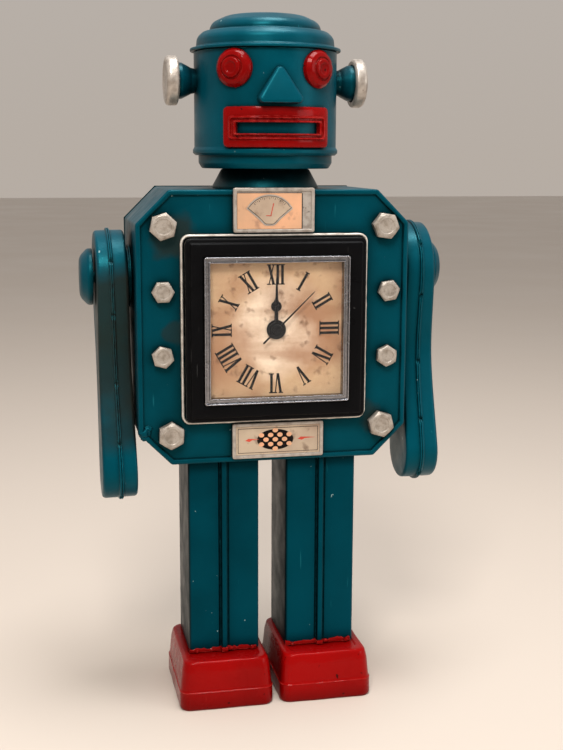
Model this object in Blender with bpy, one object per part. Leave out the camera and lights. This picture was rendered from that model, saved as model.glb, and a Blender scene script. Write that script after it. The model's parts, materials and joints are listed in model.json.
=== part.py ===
"""Wind-up tin robot with a spring-driven clock in its chest, built from its separate pieces.

The robot stands on the floor at z = 0 and faces -Y, with +Z up. "left" and "right" are as seen from the
front, so left is -X. Each sheet or turned piece is one closed body, and touching pieces keep a small gap.
"""

import math

import bmesh
import bpy
from mathutils import Matrix, Vector
from mathutils.geometry import tessellate_polygon

# Lengths are in millimetres. MM turns them into Blender's metres wherever a point or a place is made.
MM = 0.001
GAP = 0.3
TIN = 1.2  # thickness of the sheet metal
SHARP = math.radians(32)
SIDES = {"left": -1, "right": 1}

# Torso: an octagonal drum. Its middle plane is Y = 0 of the robot empty.
TORSO_HALF = 74.8
TORSO_LOW, TORSO_HIGH = 139.2, 287.6
TORSO_FRONT = 33.6
TORSO_CHAMFER = 17.8
RIM_WIDTH = 3.0
PANEL_BACK, PANEL_FACE = TORSO_FRONT - 2.7, TORSO_FRONT - 1.5
COVER_OVERHANG = 0.4

# Hex bolts of the front panel, from the top down: (across flats, head height), and (x, z) on each side
BOLT_SIZES = ((13.0, 5.5), (10.6, 4.2), (10.6, 4.2), (13.0, 5.5))
BOLT_PLACES = {
    "left": ((-60.3, 268.5), (-60.7, 233.9), (-61.2, 199.0), (-57.2, 155.9)),
    "right": ((61.2, 268.0), (63.8, 232.5), (63.2, 196.2), (60.4, 157.6)),
}
SHANK_RATIO = 4 / 13  # an M8 bolt is 13 mm across its flats, and the smaller ones keep its proportions
CHAMFER_RATIO = 0.48  # radius of a head's flat top, in widths across the flats
SHANK_LENGTH = 8.0

# Clock: half sizes of its square pieces, and heights above the torso's middle plane
CLOCK_Z = 212.9
BORDER_HALF, BORDER_WIDTH, BORDER_CORNER = 51.5, 1.8, 5.0
CASE_HALF, CASE_CORNER = 49.4, 3.2
BEZEL_HALF, BEZEL_OPENING, BEZEL_CORNER = 39.7, 36.4, 1.2
CASE_FRONT, BEZEL_FRONT = 41.5, 42.5
DIAL_BACK, DIAL_FACE = 35.4, 36.4
HOUR_HAND, MINUTE_HAND, SECOND_HAND, GLASS = (37.2, 37.7), (38.2, 38.7), (39.2, 39.6), (40.4, 41.6)
HOUR_LENGTH, MINUTE_LENGTH, SECOND_LENGTH, SECOND_TAIL = 20.5, 30.2, 29.4, 10.6
SECOND_ANGLE = -math.radians(45.5)  # where the second hand stands, from 12 o'clock
PANEL_HOLE = 43.9

# Labels: x and z limits on the front of the torso
TOP_LABEL = (-22.9, 21.3, 264.8, 288.6)
BOTTOM_LABEL = (-23.8, 27.2, 141.2, 161.1)
LABEL_BACK = TORSO_FRONT + GAP

# Head: turned sheet metal on a vertical axis
HEAD_X, HEAD_Y = 0.7, -2.0
HEAD_RADIUS = 39.1
HEAD_LOW, HEAD_HIGH = 305.4, 360.2
BASE_LOW = 298.4
TOTAL_HEIGHT = 380.0
EYE_ANGLE = {"left": -math.radians(35.5), "right": math.radians(34.0)}
EYE_Z, EYE_RADIUS = 350.2, 10.1
EAR_Z, EAR_RADIUS, EAR_OUT, EAR_THICK = 345.0, 13.3, 55.5, 7.1
MOUTH_HALF_ANGLE, MOUTH_LOW, MOUTH_HIGH = math.radians(44.0), 309.6, 330.6
SLOT_HALF_ANGLE, SLOT_LOW, SLOT_HIGH = math.radians(33.0), 316.7, 322.4
NOSE_HALF, NOSE_LOW, NOSE_HIGH, NOSE_PROUD = 13.2, 332.0, 353.5, 6.0

# Arms: a wide shoulder lobe, a waist and a smaller hand lobe
ARM_X = 86.6
SHOULDER_Y = 2.7
SHOULDER_Z = {"left": 239.2, "right": 242.3}
ARM_LEAN = {"left": math.radians(1.4), "right": 0.0}  # the left arm hangs in towards the torso
SHOULDER_RADIUS, HAND_RADIUS, WAIST_HALF = 25.5, 17.5, 13.1
HAND_FORWARD, HAND_DOWN = 15.7, 104.0
WAIST_AT = 57.0  # from the pivot, along the arm
ARM_OUTER, ARM_INNER = 7.9, 8.9  # height of each half from the seam, at the pivot
ARM_SWELL = 2.2  # how much higher the outer half is at the hand
FLANGE_WIDTH, FLANGE_THICK = 1.4, 0.9
DOME_RADIUS, DOME_OUT = 15.6, 16.3
PIN_RADIUS, PIN_HOLE = 3.6, 4.6

# Legs and feet
LEG_X, LEG_HALF = 27.7, 19.9
LEG_FRONT, LEG_REAR = -28.0, 14.0
RIB_HALF, RIB_PROUD = 1.8, 2.0
FOOT_X, FOOT_HALF_X = 28.5, 26.8
FOOT_FRONT, FOOT_REAR = -45.5, 20.0
FOOT_SEAM, FOOT_HIGH = 11.0, 27.8

# Clock movement: places are (x, y) from the dial's centre, and heights are above the torso's middle plane
ADDENDUM, DEDENDUM = 0.8, 1.1  # in modules
TIP_HALF, ROOT_HALF = 0.09, 0.22  # half widths of a tooth, in pitches
WHEEL_MODULE, THIRD_MODULE, GREAT_MODULE = 0.75, 0.75 * 54 / 51, 1.25
MINUTE_MODULE, HOUR_MODULE = 1.3, 1.04
TRAIN_DISTANCE = WHEEL_MODULE * (48 + 6) / 2
GREAT_DISTANCE = GREAT_MODULE * (36 + 6) / 2
SETTING_DISTANCE = MINUTE_MODULE * (24 + 8) / 2
THIRD_DIRECTION, GREAT_DIRECTION = math.radians(60), math.radians(225)
ESCAPE_DIRECTION, SETTING_DIRECTION = math.radians(-35), math.radians(150)
LEVER_DIRECTION = math.radians(-50)
LEVER_DISTANCE, BALANCE_DISTANCE = 9.5, 12.0
FRONT_PLATE, BACK_PLATE = (27.8, 29.3), (-4.5, -3.0)
PLATE_CENTRE, PLATE_HALF = (-2.0, -5.0), (44.0, 44.0)
PILLAR_HALF, PILLAR_RADIUS = 40.0, 2.5
COVER_BACK = -(TORSO_FRONT + GAP + TIN)
WINDING_RADIUS, SETTING_RADIUS = 2.3, 1.5
KEY_END = 55.0

NOSE_TIP = HEAD_RADIUS + NOSE_PROUD - HEAD_Y
BODY_Y = (NOSE_TIP - KEY_END) / 2  # centres the robot between its nose and its key


# ------------------------------------------------------------ outlines


def polar(radius, angle, centre=(0.0, 0.0)):
    return (centre[0] + radius * math.cos(angle), centre[1] + radius * math.sin(angle))


def circle(radius, steps=20, centre=(0.0, 0.0)):
    return [polar(radius, math.tau * i / steps, centre) for i in range(steps)]


def arc(radius, start, end, steps, centre=(0.0, 0.0)):
    return [polar(radius, start + (end - start) * i / steps, centre) for i in range(steps + 1)]


def rounded_rectangle(half_x, half_y, radius, steps=3, centre=(0.0, 0.0)):
    """Corners as arcs, counter-clockwise from the right-hand side."""
    points = []
    for quarter, (side_x, side_y) in enumerate(((1, 1), (-1, 1), (-1, -1), (1, -1))):
        corner = (centre[0] + side_x * (half_x - radius), centre[1] + side_y * (half_y - radius))
        points += arc(radius, quarter * math.pi / 2, (quarter + 1) * math.pi / 2, steps, corner)
    return points


def octagon(inset):
    """The torso's outline in X and Z, drawn in by inset."""
    half, low, high = TORSO_HALF - inset, TORSO_LOW + inset, TORSO_HIGH - inset
    cut = TORSO_CHAMFER - inset * (2 - math.sqrt(2))
    right = [(half - cut, low), (half, low + cut), (half, high - cut), (half - cut, high)]
    return right + [(-x, z) for x, z in reversed(right)]


def mirrored(right_side):
    """An outline from its right-hand half, listed upwards."""
    return right_side + [(-x, y) for x, y in reversed(right_side) if x > 0]


def offset(outline, distance):
    """A smooth counter-clockwise outline, grown by distance."""
    points = []
    for before, (x, y), after in zip(outline[-1:] + outline[:-1], outline, outline[1:] + outline[:1]):
        along = Vector((after[0] - before[0], after[1] - before[1])).normalized()
        points.append((x + along.y * distance, y - along.x * distance))
    return points


def gear(teeth, module, tooth_at):
    """A toothed outline with one tooth centred on the angle tooth_at."""
    pitch = math.tau / teeth
    root, tip = module * (teeth / 2 - DEDENDUM), module * (teeth / 2 + ADDENDUM)
    corners = ((root, -ROOT_HALF), (tip, -TIP_HALF), (tip, TIP_HALF), (root, ROOT_HALF))
    return [polar(radius, tooth_at + (i + side) * pitch) for i in range(teeth) for radius, side in corners]


def gap_at(teeth, angle):
    """Where a gear's tooth goes so that a gap between two teeth faces angle."""
    return angle + math.pi / teeth


def saw(teeth, root, tip, lean):
    """A wheel outline with pointed teeth that lean one way, as on a ratchet or an escape wheel."""
    pitch = math.tau / teeth
    return [p for i in range(teeth) for p in (polar(root, i * pitch), polar(tip, (i + lean) * pitch))]


def at(outline, height):
    return [(x, y, height) for x, y in outline]


# ------------------------------------------------------------ solids


def add_loop(bm, points):
    return [(bm.verts.new(Vector(point) * MM), Vector(point)) for point in points]


def wall(bm, low, high):
    for i in range(len(low)):
        j = (i + 1) % len(low)
        bm.faces.new([low[i][0], low[j][0], high[j][0], high[i][0]])


def flat(bm, *loops):
    """Fills the plane area between an outline and the outlines inside it."""
    corners = [vert for loop in loops for vert, _ in loop]
    for triangle in tessellate_polygon([[point for _, point in loop] for loop in loops]):
        bm.faces.new([corners[i] for i in triangle])


def facing_out(bm):
    bmesh.ops.recalc_face_normals(bm, faces=bm.faces)
    return bm


def solid(loops, ring=False):
    """One closed body through loops of points. Loops of equal length are joined by quads, and others, which
    lie in one plane, by flat faces. The two ends are capped, or in a ring joined to each other."""
    bm = bmesh.new()
    rows = [add_loop(bm, loop) for loop in loops]
    pairs = list(zip(rows, rows[1:]))
    if ring:
        pairs.append((rows[-1], rows[0]))
    else:
        flat(bm, rows[0])
        flat(bm, rows[-1])
    for low, high in pairs:
        if len(low) == len(high):
            wall(bm, low, high)
        else:
            flat(bm, low, high)
    return facing_out(bm)


def turned(profile, steps=32, ring=False):
    """A body of revolution round Z through (radius, height) points."""
    return solid([at(circle(radius, steps), height) for radius, height in profile], ring)


def stack(start, *levels, bore=None):
    """Coaxial levels, each an outline and the height it reaches, with an optional round bore through all."""
    loops = []
    low = start
    for outline, high in levels:
        loops += [at(outline, low), at(outline, high)]
        low = high
    if bore is None:
        return solid(loops)
    return solid(loops + [at(circle(bore, 16), low), at(circle(bore, 16), start)], ring=True)


def plate(outline, low, high, holes=(), posts=(), post_end=0.0):
    """A flat plate with through holes, and posts that stand from its low face down to post_end."""
    bm = bmesh.new()
    bottom, top = add_loop(bm, at(outline, low)), add_loop(bm, at(outline, high))
    bottom_holes = [add_loop(bm, at(hole, low)) for hole in holes]
    top_holes = [add_loop(bm, at(hole, high)) for hole in holes]
    post_roots = [add_loop(bm, at(post, low)) for post in posts]
    flat(bm, bottom, *bottom_holes, *post_roots)
    flat(bm, top, *top_holes)
    for lower, upper in zip([bottom] + bottom_holes, [top] + top_holes):
        wall(bm, lower, upper)
    for post, root in zip(posts, post_roots):
        tip = add_loop(bm, at(post, post_end))
        wall(bm, root, tip)
        flat(bm, tip)
    return facing_out(bm)


# ------------------------------------------------------------ scene objects


def paint(name, colour, roughness, metallic=0.0):
    material = bpy.data.materials.new(name)
    material.use_nodes = True
    shader = material.node_tree.nodes["Principled BSDF"]
    shader.inputs["Base Color"].default_value = (*colour, 1.0)
    shader.inputs["Roughness"].default_value = roughness
    shader.inputs["Metallic"].default_value = metallic
    return material


def empty(name, parent=None, place=(0.0, 0.0, 0.0), turn=None):
    helper = bpy.data.objects.new(name, None)
    helper.empty_display_size = 0.01
    bpy.context.scene.collection.objects.link(helper)
    helper.parent = parent
    helper.location = Vector(place) * MM
    if turn is not None:
        helper.rotation_euler = turn.to_euler()
    return helper


def piece(name, bm, finish, parent, place=(0.0, 0.0, 0.0), turn=None):
    mesh = bpy.data.meshes.new(name)
    bm.to_mesh(mesh)
    bm.free()
    mesh.materials.append(finish)
    mesh.shade_smooth()
    mesh.set_sharp_from_angle(angle=SHARP)
    made = bpy.data.objects.new(name, mesh)
    bpy.context.scene.collection.objects.link(made)
    made.parent = parent
    made.location = Vector(place) * MM
    if turn is not None:
        made.rotation_euler = turn.to_euler()
    return made


def combine(target, helper, operation):
    """Cuts helper from target, or joins it on, and keeps the helper out of the model."""
    helper.hide_render = True
    helper.display_type = "WIRE"
    modifier = target.modifiers.new(operation.title(), "BOOLEAN")
    modifier.object = helper
    modifier.operation = operation
    modifier.solver = "EXACT"


# ------------------------------------------------------------ torso


def make_torso(front, finishes):
    """The shell, front panel and back cover. front's own axes are X, height and distance forward."""
    face, rim = TORSO_FRONT, RIM_WIDTH
    shell_profile = [
        (0.0, face - 1.0), (0.8, face), (rim - 0.8, face), (rim, face - 0.7), (rim, face - TIN),
        (TIN, face - TIN), (TIN, -face), (0.0, -face),
    ]
    shell_loops = [at(octagon(inset), height) for inset, height in shell_profile]
    shell = piece("torso_shell", solid(shell_loops, ring=True), finishes["teal"], front)
    turn = Matrix.Rotation(math.pi / 2, 3, "Y")
    for side, sign in SIDES.items():
        drill = turned([(PIN_HOLE, -8.0), (PIN_HOLE, 8.0)], 20)
        place = (sign * TORSO_HALF, SHOULDER_Z[side], -SHOULDER_Y)
        hole = piece(f"shoulder_hole_{side}", drill, finishes["steel"], front, place, turn)
        combine(shell, hole, "DIFFERENCE")

    bolt_holes = [
        circle(flats * SHANK_RATIO + GAP, 16, place)
        for places in BOLT_PLACES.values()
        for place, (flats, _) in zip(places, BOLT_SIZES)
    ]
    clock_hole = rounded_rectangle(PANEL_HOLE, PANEL_HOLE, 0.5, 2, centre=(0.0, CLOCK_Z))
    panel = plate(octagon(TIN + GAP), PANEL_BACK, PANEL_FACE, [clock_hole] + bolt_holes)
    piece("front_panel", panel, finishes["teal"], front)

    key_x, key_y = polar(GREAT_DISTANCE, GREAT_DIRECTION)
    knob_x, knob_y = polar(SETTING_DISTANCE, SETTING_DIRECTION)
    key_hole = circle(WINDING_RADIUS + 0.9, 20, (key_x, CLOCK_Z + key_y))
    knob_hole = circle(SETTING_RADIUS + 0.7, 20, (knob_x, CLOCK_Z + knob_y))
    cover = plate(octagon(-COVER_OVERHANG), COVER_BACK, COVER_BACK + TIN, [key_hole, knob_hole])
    piece("back_cover", cover, finishes["dark"], front)


def make_bolts(front, finishes):
    head = PANEL_FACE + GAP
    for side, places in BOLT_PLACES.items():
        for number, ((x, z), (flats, height)) in enumerate(zip(places, BOLT_SIZES), 1):
            shank = circle(flats * SHANK_RATIO, 16)
            hexagon = circle(flats / math.sqrt(3), 6)
            top = circle(flats * CHAMFER_RATIO, 18)
            bolt = stack(
                head - SHANK_LENGTH, (shank, head), (hexagon, head + height - 0.6), (top, head + height)
            )
            piece(f"bolt_{side}_{number}", bolt, finishes["nickel"], front, (x, z, 0.0))


def make_label(name, limits, front, finishes):
    """A plate with a raised frame round a sunk field."""
    left, right, low, high = limits
    centre = ((left + right) / 2, (low + high) / 2)
    half_x, half_y = (right - left) / 2, (high - low) / 2
    profile = [(0.0, 0.0), (0.0, 1.2), (0.4, 1.6), (1.8, 1.6), (2.2, 1.0)]
    loops = [
        at(rounded_rectangle(half_x - inset, half_y - inset, 1.0, 2, centre), LABEL_BACK + height)
        for inset, height in profile
    ]
    piece(name, solid(loops), finishes["silver"], front)


# ------------------------------------------------------------ clock face and hands


def square_ring(profile, corner, steps=3):
    """A square frame through (half size, height) points, each with a rounded corner."""
    widest = max(half for half, _ in profile)
    loops = []
    for half, height in profile:
        radius = max(0.4, corner - (widest - half))
        loops.append(at(rounded_rectangle(half, half, radius, steps), height))
    return solid(loops, ring=True)


def make_clock_front(clock, finishes):
    """Border, case, bezel, dial and glass. The case has a pocket for the bezel and a ledge for the dial."""
    outer, inner, base = BORDER_HALF, BORDER_HALF - BORDER_WIDTH, PANEL_FACE + GAP
    border = [
        (outer, base), (outer, base + 2.4), (outer - 0.6, base + 3.0), (inner, base + 2.6), (inner, base),
    ]
    piece("clock_border", square_ring(border, BORDER_CORNER, 4), finishes["silver"], clock)

    pocket, ledge, plug = BEZEL_HALF + 0.4, BEZEL_HALF - 1.7, PANEL_HOLE - 0.4
    floor, rear = DIAL_BACK - GAP, FRONT_PLATE[1] + GAP
    case = [
        (CASE_HALF, base), (CASE_HALF, CASE_FRONT - 0.8), (CASE_HALF - 0.8, CASE_FRONT), (pocket, CASE_FRONT),
        (pocket, floor), (ledge, floor), (ledge, rear), (plug, rear), (plug, base),
    ]
    piece("clock_case", square_ring(case, CASE_CORNER), finishes["black"], clock)

    half, opening, low, high = BEZEL_HALF, BEZEL_OPENING, DIAL_FACE + GAP, BEZEL_FRONT
    bezel = [
        (half, low), (half, high - 0.6), (half - 0.6, high), (half - 1.3, high), (half - 1.7, high - 0.6),
        (half - 2.0, high - 0.6), (half - 2.4, high - 0.2), (opening + 0.4, high - 0.2),
        (opening, high - 0.7), (opening, low),
    ]
    piece("clock_bezel", square_ring(bezel, BEZEL_CORNER, 2), finishes["chrome"], clock)

    dial = plate(rounded_rectangle(half, half, 1.0, 2), DIAL_BACK, DIAL_FACE, [circle(3.6, 24)])
    piece("dial", dial, finishes["dial"], clock)
    pane = rounded_rectangle(opening - 0.4, opening - 0.4, 0.8, 2)
    piece("clock_glass", solid([at(pane, height) for height in GLASS]), finishes["glass"], clock)


def make_hands(clock, finishes):
    """The hour and minute hands point to 12, and each sits on the end of its own pipe or arbor."""
    bulb_at, bulb = 12.6, 2.9
    hour = mirrored(
        arc(5.3, -math.pi / 2, math.radians(78), 8)
        + arc(bulb, -math.radians(70), math.radians(60), 5, (0.0, bulb_at))
        + [(0.5, bulb_at + 4.6), (0.0, HOUR_LENGTH)]
    )
    piece("hour_hand", plate(hour, *HOUR_HAND, [circle(3.4)]), finishes["black"], clock)
    minute = mirrored(
        arc(4.2, -math.pi / 2, math.radians(80), 8) + [(0.8, 14.0), (0.45, 27.0), (0.0, MINUTE_LENGTH)]
    )
    piece("minute_hand", plate(minute, *MINUTE_HAND, [circle(2.2)]), finishes["black"], clock)
    second = mirrored(
        [(0.0, -SECOND_TAIL), (0.5, -SECOND_TAIL + 0.4), (0.4, -3.5)]
        + arc(3.0, -math.radians(80), math.radians(80), 8)
        + [(0.2, SECOND_LENGTH - 1), (0.0, SECOND_LENGTH)]
    )
    second_plate = plate(second, *SECOND_HAND, [circle(0.9, 12)])
    turn = Matrix.Rotation(SECOND_ANGLE, 3, "Z")
    piece("second_hand", second_plate, finishes["black"], clock, turn=turn)


# ------------------------------------------------------------ clock movement


def arbor(name, clock, centre):
    return empty(name, clock, (*centre, 0.0))


def make_plates(clock, finishes, pivots, through):
    """Two plates on four pillars. pivots are the fine holes and through the wide ones: (radius, centre)."""
    outline = rounded_rectangle(*PLATE_HALF, 3.0, 2, PLATE_CENTRE)
    middle_x, middle_y = PLATE_CENTRE
    pillars = [
        circle(PILLAR_RADIUS, 10, (middle_x + side_x * PILLAR_HALF, middle_y + side_y * PILLAR_HALF))
        for side_x in (-1, 1)
        for side_y in (-1, 1)
    ]
    holes = [circle(radius, 12, centre) for radius, centre in pivots + through]
    front_holes = holes + [circle(2.3, 16)]
    front = plate(outline, *FRONT_PLATE, front_holes, pillars, BACK_PLATE[1] + GAP)
    piece("movement_front_plate", front, finishes["brass"], clock)
    back = plate(outline, *BACK_PLATE, holes + [circle(0.9, 12)])
    piece("movement_back_plate", back, finishes["brass"], clock)


def make_minute_train(clock, finishes):
    """The hollow centre arbor with its wheel, its pinion behind and the cannon pinion in front."""
    tube = circle(1.9, 16)
    centre = stack(
        12.0,
        (gear(6, GREAT_MODULE, gap_at(6, GREAT_DIRECTION)), 23.0),
        (tube, 24.0),
        (gear(48, WHEEL_MODULE, THIRD_DIRECTION), 25.5),
        (tube, 29.8),
        (gear(8, MINUTE_MODULE, gap_at(8, SETTING_DIRECTION)), 32.8),
        (tube, 38.9),
        bore=0.95,
    )
    piece("centre_wheel", centre, finishes["brass"], clock)
    hour = stack(33.2, (gear(32, HOUR_MODULE, SETTING_DIRECTION), 34.6), (circle(3.1), 37.6), bore=2.25)
    piece("hour_wheel", hour, finishes["brass"], clock)


def make_going_train(clock, finishes, third_at, escape_at):
    """Third wheel, seconds wheel and escape wheel."""
    fine, pivot = circle(0.9, 10), circle(0.6, 10)
    back_pivot, front_pivot = -3.6, 28.6
    away = math.pi
    third = stack(
        back_pivot,
        (fine, 9.3),
        (gear(45, THIRD_MODULE, THIRD_DIRECTION + away), 10.5),
        (fine, 23.3),
        (gear(6, WHEEL_MODULE, gap_at(6, THIRD_DIRECTION + away)), 26.2),
        (fine, front_pivot),
    )
    piece("third_wheel", third, finishes["brass"], arbor("third_arbor", clock, third_at))
    seconds = stack(
        back_pivot,
        (pivot, 2.0),
        (gear(48, WHEEL_MODULE, ESCAPE_DIRECTION), 3.2),
        (pivot, 8.4),
        (gear(6, THIRD_MODULE, gap_at(6, THIRD_DIRECTION)), 11.4),
        (pivot, 39.9),
    )
    piece("seconds_wheel", seconds, finishes["brass"], clock)
    escape = stack(
        back_pivot,
        (pivot, -1.2),
        (saw(15, 5.4, 7.5, 0.35), -0.2),
        (pivot, 1.2),
        (gear(6, WHEEL_MODULE, gap_at(6, ESCAPE_DIRECTION + away)), 4.0),
        (pivot, front_pivot),
    )
    piece("escape_wheel", escape, finishes["brass"], arbor("escape_arbor", clock, escape_at))


def make_escapement(clock, finishes, lever_at, balance_at):
    """The pallet lever, the balance on its staff and the hairspring."""
    pivot = circle(0.6, 10)
    upper = [(-1.1, 0.0), (-1.6, 3.6), (-4.2, 6.6), (-3.2, 8.0), (0.2, 4.6), (1.8, 1.1), (9.1, 0.7)]
    anchor = upper[1:] + [(x, -y) for x, y in reversed(upper)]
    anchor = [tuple(Matrix.Rotation(LEVER_DIRECTION, 2) @ Vector(point)) for point in anchor]
    lever = stack(-3.6, (pivot, -1.2), (anchor, -0.2), (pivot, 28.6))
    piece("pallet_lever", lever, finishes["steel"], arbor("lever_arbor", clock, lever_at))

    staff = arbor("balance_staff", clock, balance_at)
    shaft = circle(0.8, 12)
    balance = stack(
        -3.6, (shaft, -1.2), (circle(2.2, 12), -0.2), (shaft, 8.0), (circle(9.0, 24), 9.5), (shaft, 28.6)
    )
    piece("balance_wheel", balance, finishes["brass"], staff)
    piece("hairspring", spiral(1.8, 6.4, 3, 0.35, 12.0, 12.8, 12), finishes["blued"], staff)


def spiral(start, end, turns, thickness, low, high, steps_per_turn):
    """A flat strip wound from radius start out to radius end."""
    loops = []
    count = turns * steps_per_turn
    for i in range(count + 1):
        angle = math.tau * i / steps_per_turn
        radius = start + (end - start) * i / count
        inner, outer = polar(radius, angle), polar(radius + thickness, angle)
        loops.append([(*inner, low), (*outer, low), (*outer, high), (*inner, high)])
    return solid(loops)


def make_winding(clock, finishes, great_at):
    """Mainspring, great wheel with its click, winding arbor with its ratchet, and the key."""
    winding = arbor("winding_arbor_axis", clock, great_at)
    great = stack(
        19.2, (gear(36, GREAT_MODULE, GREAT_DIRECTION - math.pi), 21.0), (circle(5.0), 22.4), bore=2.6
    )
    great_wheel = piece("great_wheel", great, finishes["brass"], winding)
    click = [(7.9, -2.5), (10.5, -3.5), (12.5, 4.0), (10.2, 4.6)]
    click_helper = piece("click", solid([at(click, 17.6), at(click, 19.8)]), finishes["steel"], winding)
    combine(great_wheel, click_helper, "UNION")

    square = circle(2.1, 4)
    arbor_body = stack(
        -45.0,
        (square, COVER_BACK - 1.0),
        (circle(WINDING_RADIUS), 4.3),
        (circle(3.5), 16.8),
        (circle(WINDING_RADIUS), 17.4),
        (saw(12, 6.2, 7.5, 0.1), 18.8),
        (circle(WINDING_RADIUS), 22.8),
        (circle(1.5, 14), 28.6),
    )
    piece("winding_arbor", arbor_body, finishes["steel"], winding)
    piece("mainspring", spiral(4.2, 16.4, 5, 0.6, 4.6, 16.4, 12), finishes["blued"], winding)

    lobe_x, lobe, lobe_y = 9.5, 7.5, 7.5 - KEY_END
    bow = [(0.0, lobe_y - 4.0)] + arc(lobe, -math.radians(140), math.radians(140), 12, (lobe_x, lobe_y))
    bow_outline = mirrored(bow + [(0.0, lobe_y + 4.0)])
    finger_holes = [circle(3.4, 14, (side * lobe_x, lobe_y)) for side in (-1, 1)]
    wings = plate(bow_outline, -0.9, 0.9, finger_holes)
    wings.transform(Matrix.Rotation(math.pi / 2, 4, "X"))
    wings_helper = piece("key_wings", wings, finishes["nickel"], winding)
    boss_front = COVER_BACK - 1.2
    boss = solid([at(circle(4.5), boss_front), at(circle(4.5), -47.5), at(circle(3.6), -48.2)])
    boss_object = piece("winding_key", boss, finishes["nickel"], winding)
    socket = piece("key_socket", turned([(2.6, -45.3), (2.6, -30.0)], 20), finishes["nickel"], winding)
    combine(boss_object, wings_helper, "UNION")
    combine(boss_object, socket, "DIFFERENCE")


def make_setting(clock, finishes, setting_at):
    """The minute wheel and its pinion on the arbor of the hand-setting knob."""
    toward_centre = SETTING_DIRECTION + math.pi
    setting = stack(
        -48.0,
        (circle(7.5, 24), -39.0),
        (circle(SETTING_RADIUS, 12), 30.7),
        (gear(24, MINUTE_MODULE, toward_centre), 32.3),
        (gear(8, HOUR_MODULE, gap_at(8, toward_centre)), 35.0),
    )
    piece("setting_arbor", setting, finishes["brass"], arbor("setting_axis", clock, setting_at))


def make_movement(clock, finishes):
    third_at = polar(TRAIN_DISTANCE, THIRD_DIRECTION)
    great_at = polar(GREAT_DISTANCE, GREAT_DIRECTION)
    escape_at = polar(TRAIN_DISTANCE, ESCAPE_DIRECTION)
    setting_at = polar(SETTING_DISTANCE, SETTING_DIRECTION)
    lever_at = polar(LEVER_DISTANCE, LEVER_DIRECTION, escape_at)
    balance_at = polar(BALANCE_DISTANCE, LEVER_DIRECTION, lever_at)
    pivots = [(1.25, third_at), (0.95, escape_at), (0.95, lever_at), (1.15, balance_at)]
    through = [(WINDING_RADIUS + 0.4, great_at), (SETTING_RADIUS + 0.4, setting_at)]
    make_plates(clock, finishes, pivots, through)
    make_minute_train(clock, finishes)
    make_going_train(clock, finishes, third_at, escape_at)
    make_escapement(clock, finishes, lever_at, balance_at)
    make_winding(clock, finishes, great_at)
    make_setting(clock, finishes, setting_at)


# ------------------------------------------------------------ head


def make_neck(robot, finishes):
    """A cone on top of the torso. Its rolled spigot holds the head's base and lets it turn."""
    low, high = TORSO_HIGH + GAP, BASE_LOW - GAP
    profile = [
        (29.4, low), (28.6, low + 1.4), (24.3, high), (9.0, high), (9.0, high + 2.1), (12.0, high + 2.1),
        (12.0, high + 3.1), (7.8, high + 3.1), (7.8, high - TIN), (23.4, high - TIN), (28.0, low),
    ]
    piece("neck", turned(profile, 32, ring=True), finishes["dark"], robot, (HEAD_X, HEAD_Y, 0.0))


def make_head_shells(head, finishes):
    radius, low, high = HEAD_RADIUS, HEAD_LOW, HEAD_HIGH
    inside, bead = radius - TIN, radius + 0.9
    shell = [
        (inside, high), (radius, high), (radius, low + 3.9), (bead, low + 2.8), (bead, low + 1.4),
        (radius, low), (inside, low),
    ]
    piece("head_shell", turned(shell, 48, ring=True), finishes["teal"], head)

    wide, rise = 36.9, BASE_LOW
    base = [
        (wide, low + 5.0), (wide, rise + 3.2), (wide - 0.7, rise + 1.2), (wide - 2.5, rise), (9.4, rise),
        (9.4, rise + TIN), (wide - 3.0, rise + TIN), (wide - 1.9, rise + 2.2), (wide - TIN, rise + 4.0),
        (wide - TIN, low + 5.0),
    ]
    piece("head_base", turned(base, 32, ring=True), finishes["teal"], head)

    # The lid's dome, its lower step, the brim, and the skirt inside the shell, as depths below the top
    lid = [
        (4.0, 0.0), (16.0, 0.1), (22.0, 1.2), (26.0, 3.2), (29.0, 5.8), (30.3, 8.6), (34.0, 9.7),
        (36.8, 12.8), (37.9, 16.2), (41.2, 18.0), (41.0, 19.5), (37.4, 19.5), (37.4, 23.0), (36.2, 23.0),
        (36.2, 13.8), (28.9, 10.1), (27.8, 6.9), (22.0, 2.6), (4.0, 1.4),
    ]
    lid_profile = [(across, TOTAL_HEIGHT - depth) for across, depth in lid]
    piece("head_lid", turned(lid_profile, 32), finishes["teal"], head)


def head_cutter(name, head, finishes):
    """A cylinder a little wider than the head shell, which curves the back of a fitting to the shell."""
    radius = HEAD_RADIUS + 0.4
    return piece(name, turned([(radius, 300.0), (radius, 370.0)], 64), finishes["teal"], head)


def on_head(angle, height, radius):
    return (radius * math.sin(angle), -radius * math.cos(angle), height)


def make_face(head, finishes):
    radius, rim = HEAD_RADIUS, EYE_RADIUS
    cutter = head_cutter("face_cutter", head, finishes)
    eye_profile = [
        (rim, radius - 2.5), (rim, radius + 0.9), (rim - 0.9, radius + 2.7), (rim - 2.5, radius + 3.6),
        (6.4, radius + 3.5), (5.4, radius + 3.0), (5.0, radius + 4.6), (4.2, radius + 5.2),
        (1.6, radius + 5.2), (1.2, radius + 4.8),
    ]
    for side, angle in EYE_ANGLE.items():
        turn = Matrix.Rotation(angle, 3, "Z") @ Matrix.Rotation(math.pi / 2, 3, "X")
        eye = piece(f"eye_{side}", turned(eye_profile, 24), finishes["red"], head, (0.0, 0.0, EYE_Z), turn)
        combine(eye, cutter, "DIFFERENCE")

    nose = piece("nose", nose_solid(), finishes["teal"], head)
    combine(nose, cutter, "DIFFERENCE")
    piece("mouth", mouth_solid(), finishes["red"], head)


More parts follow.
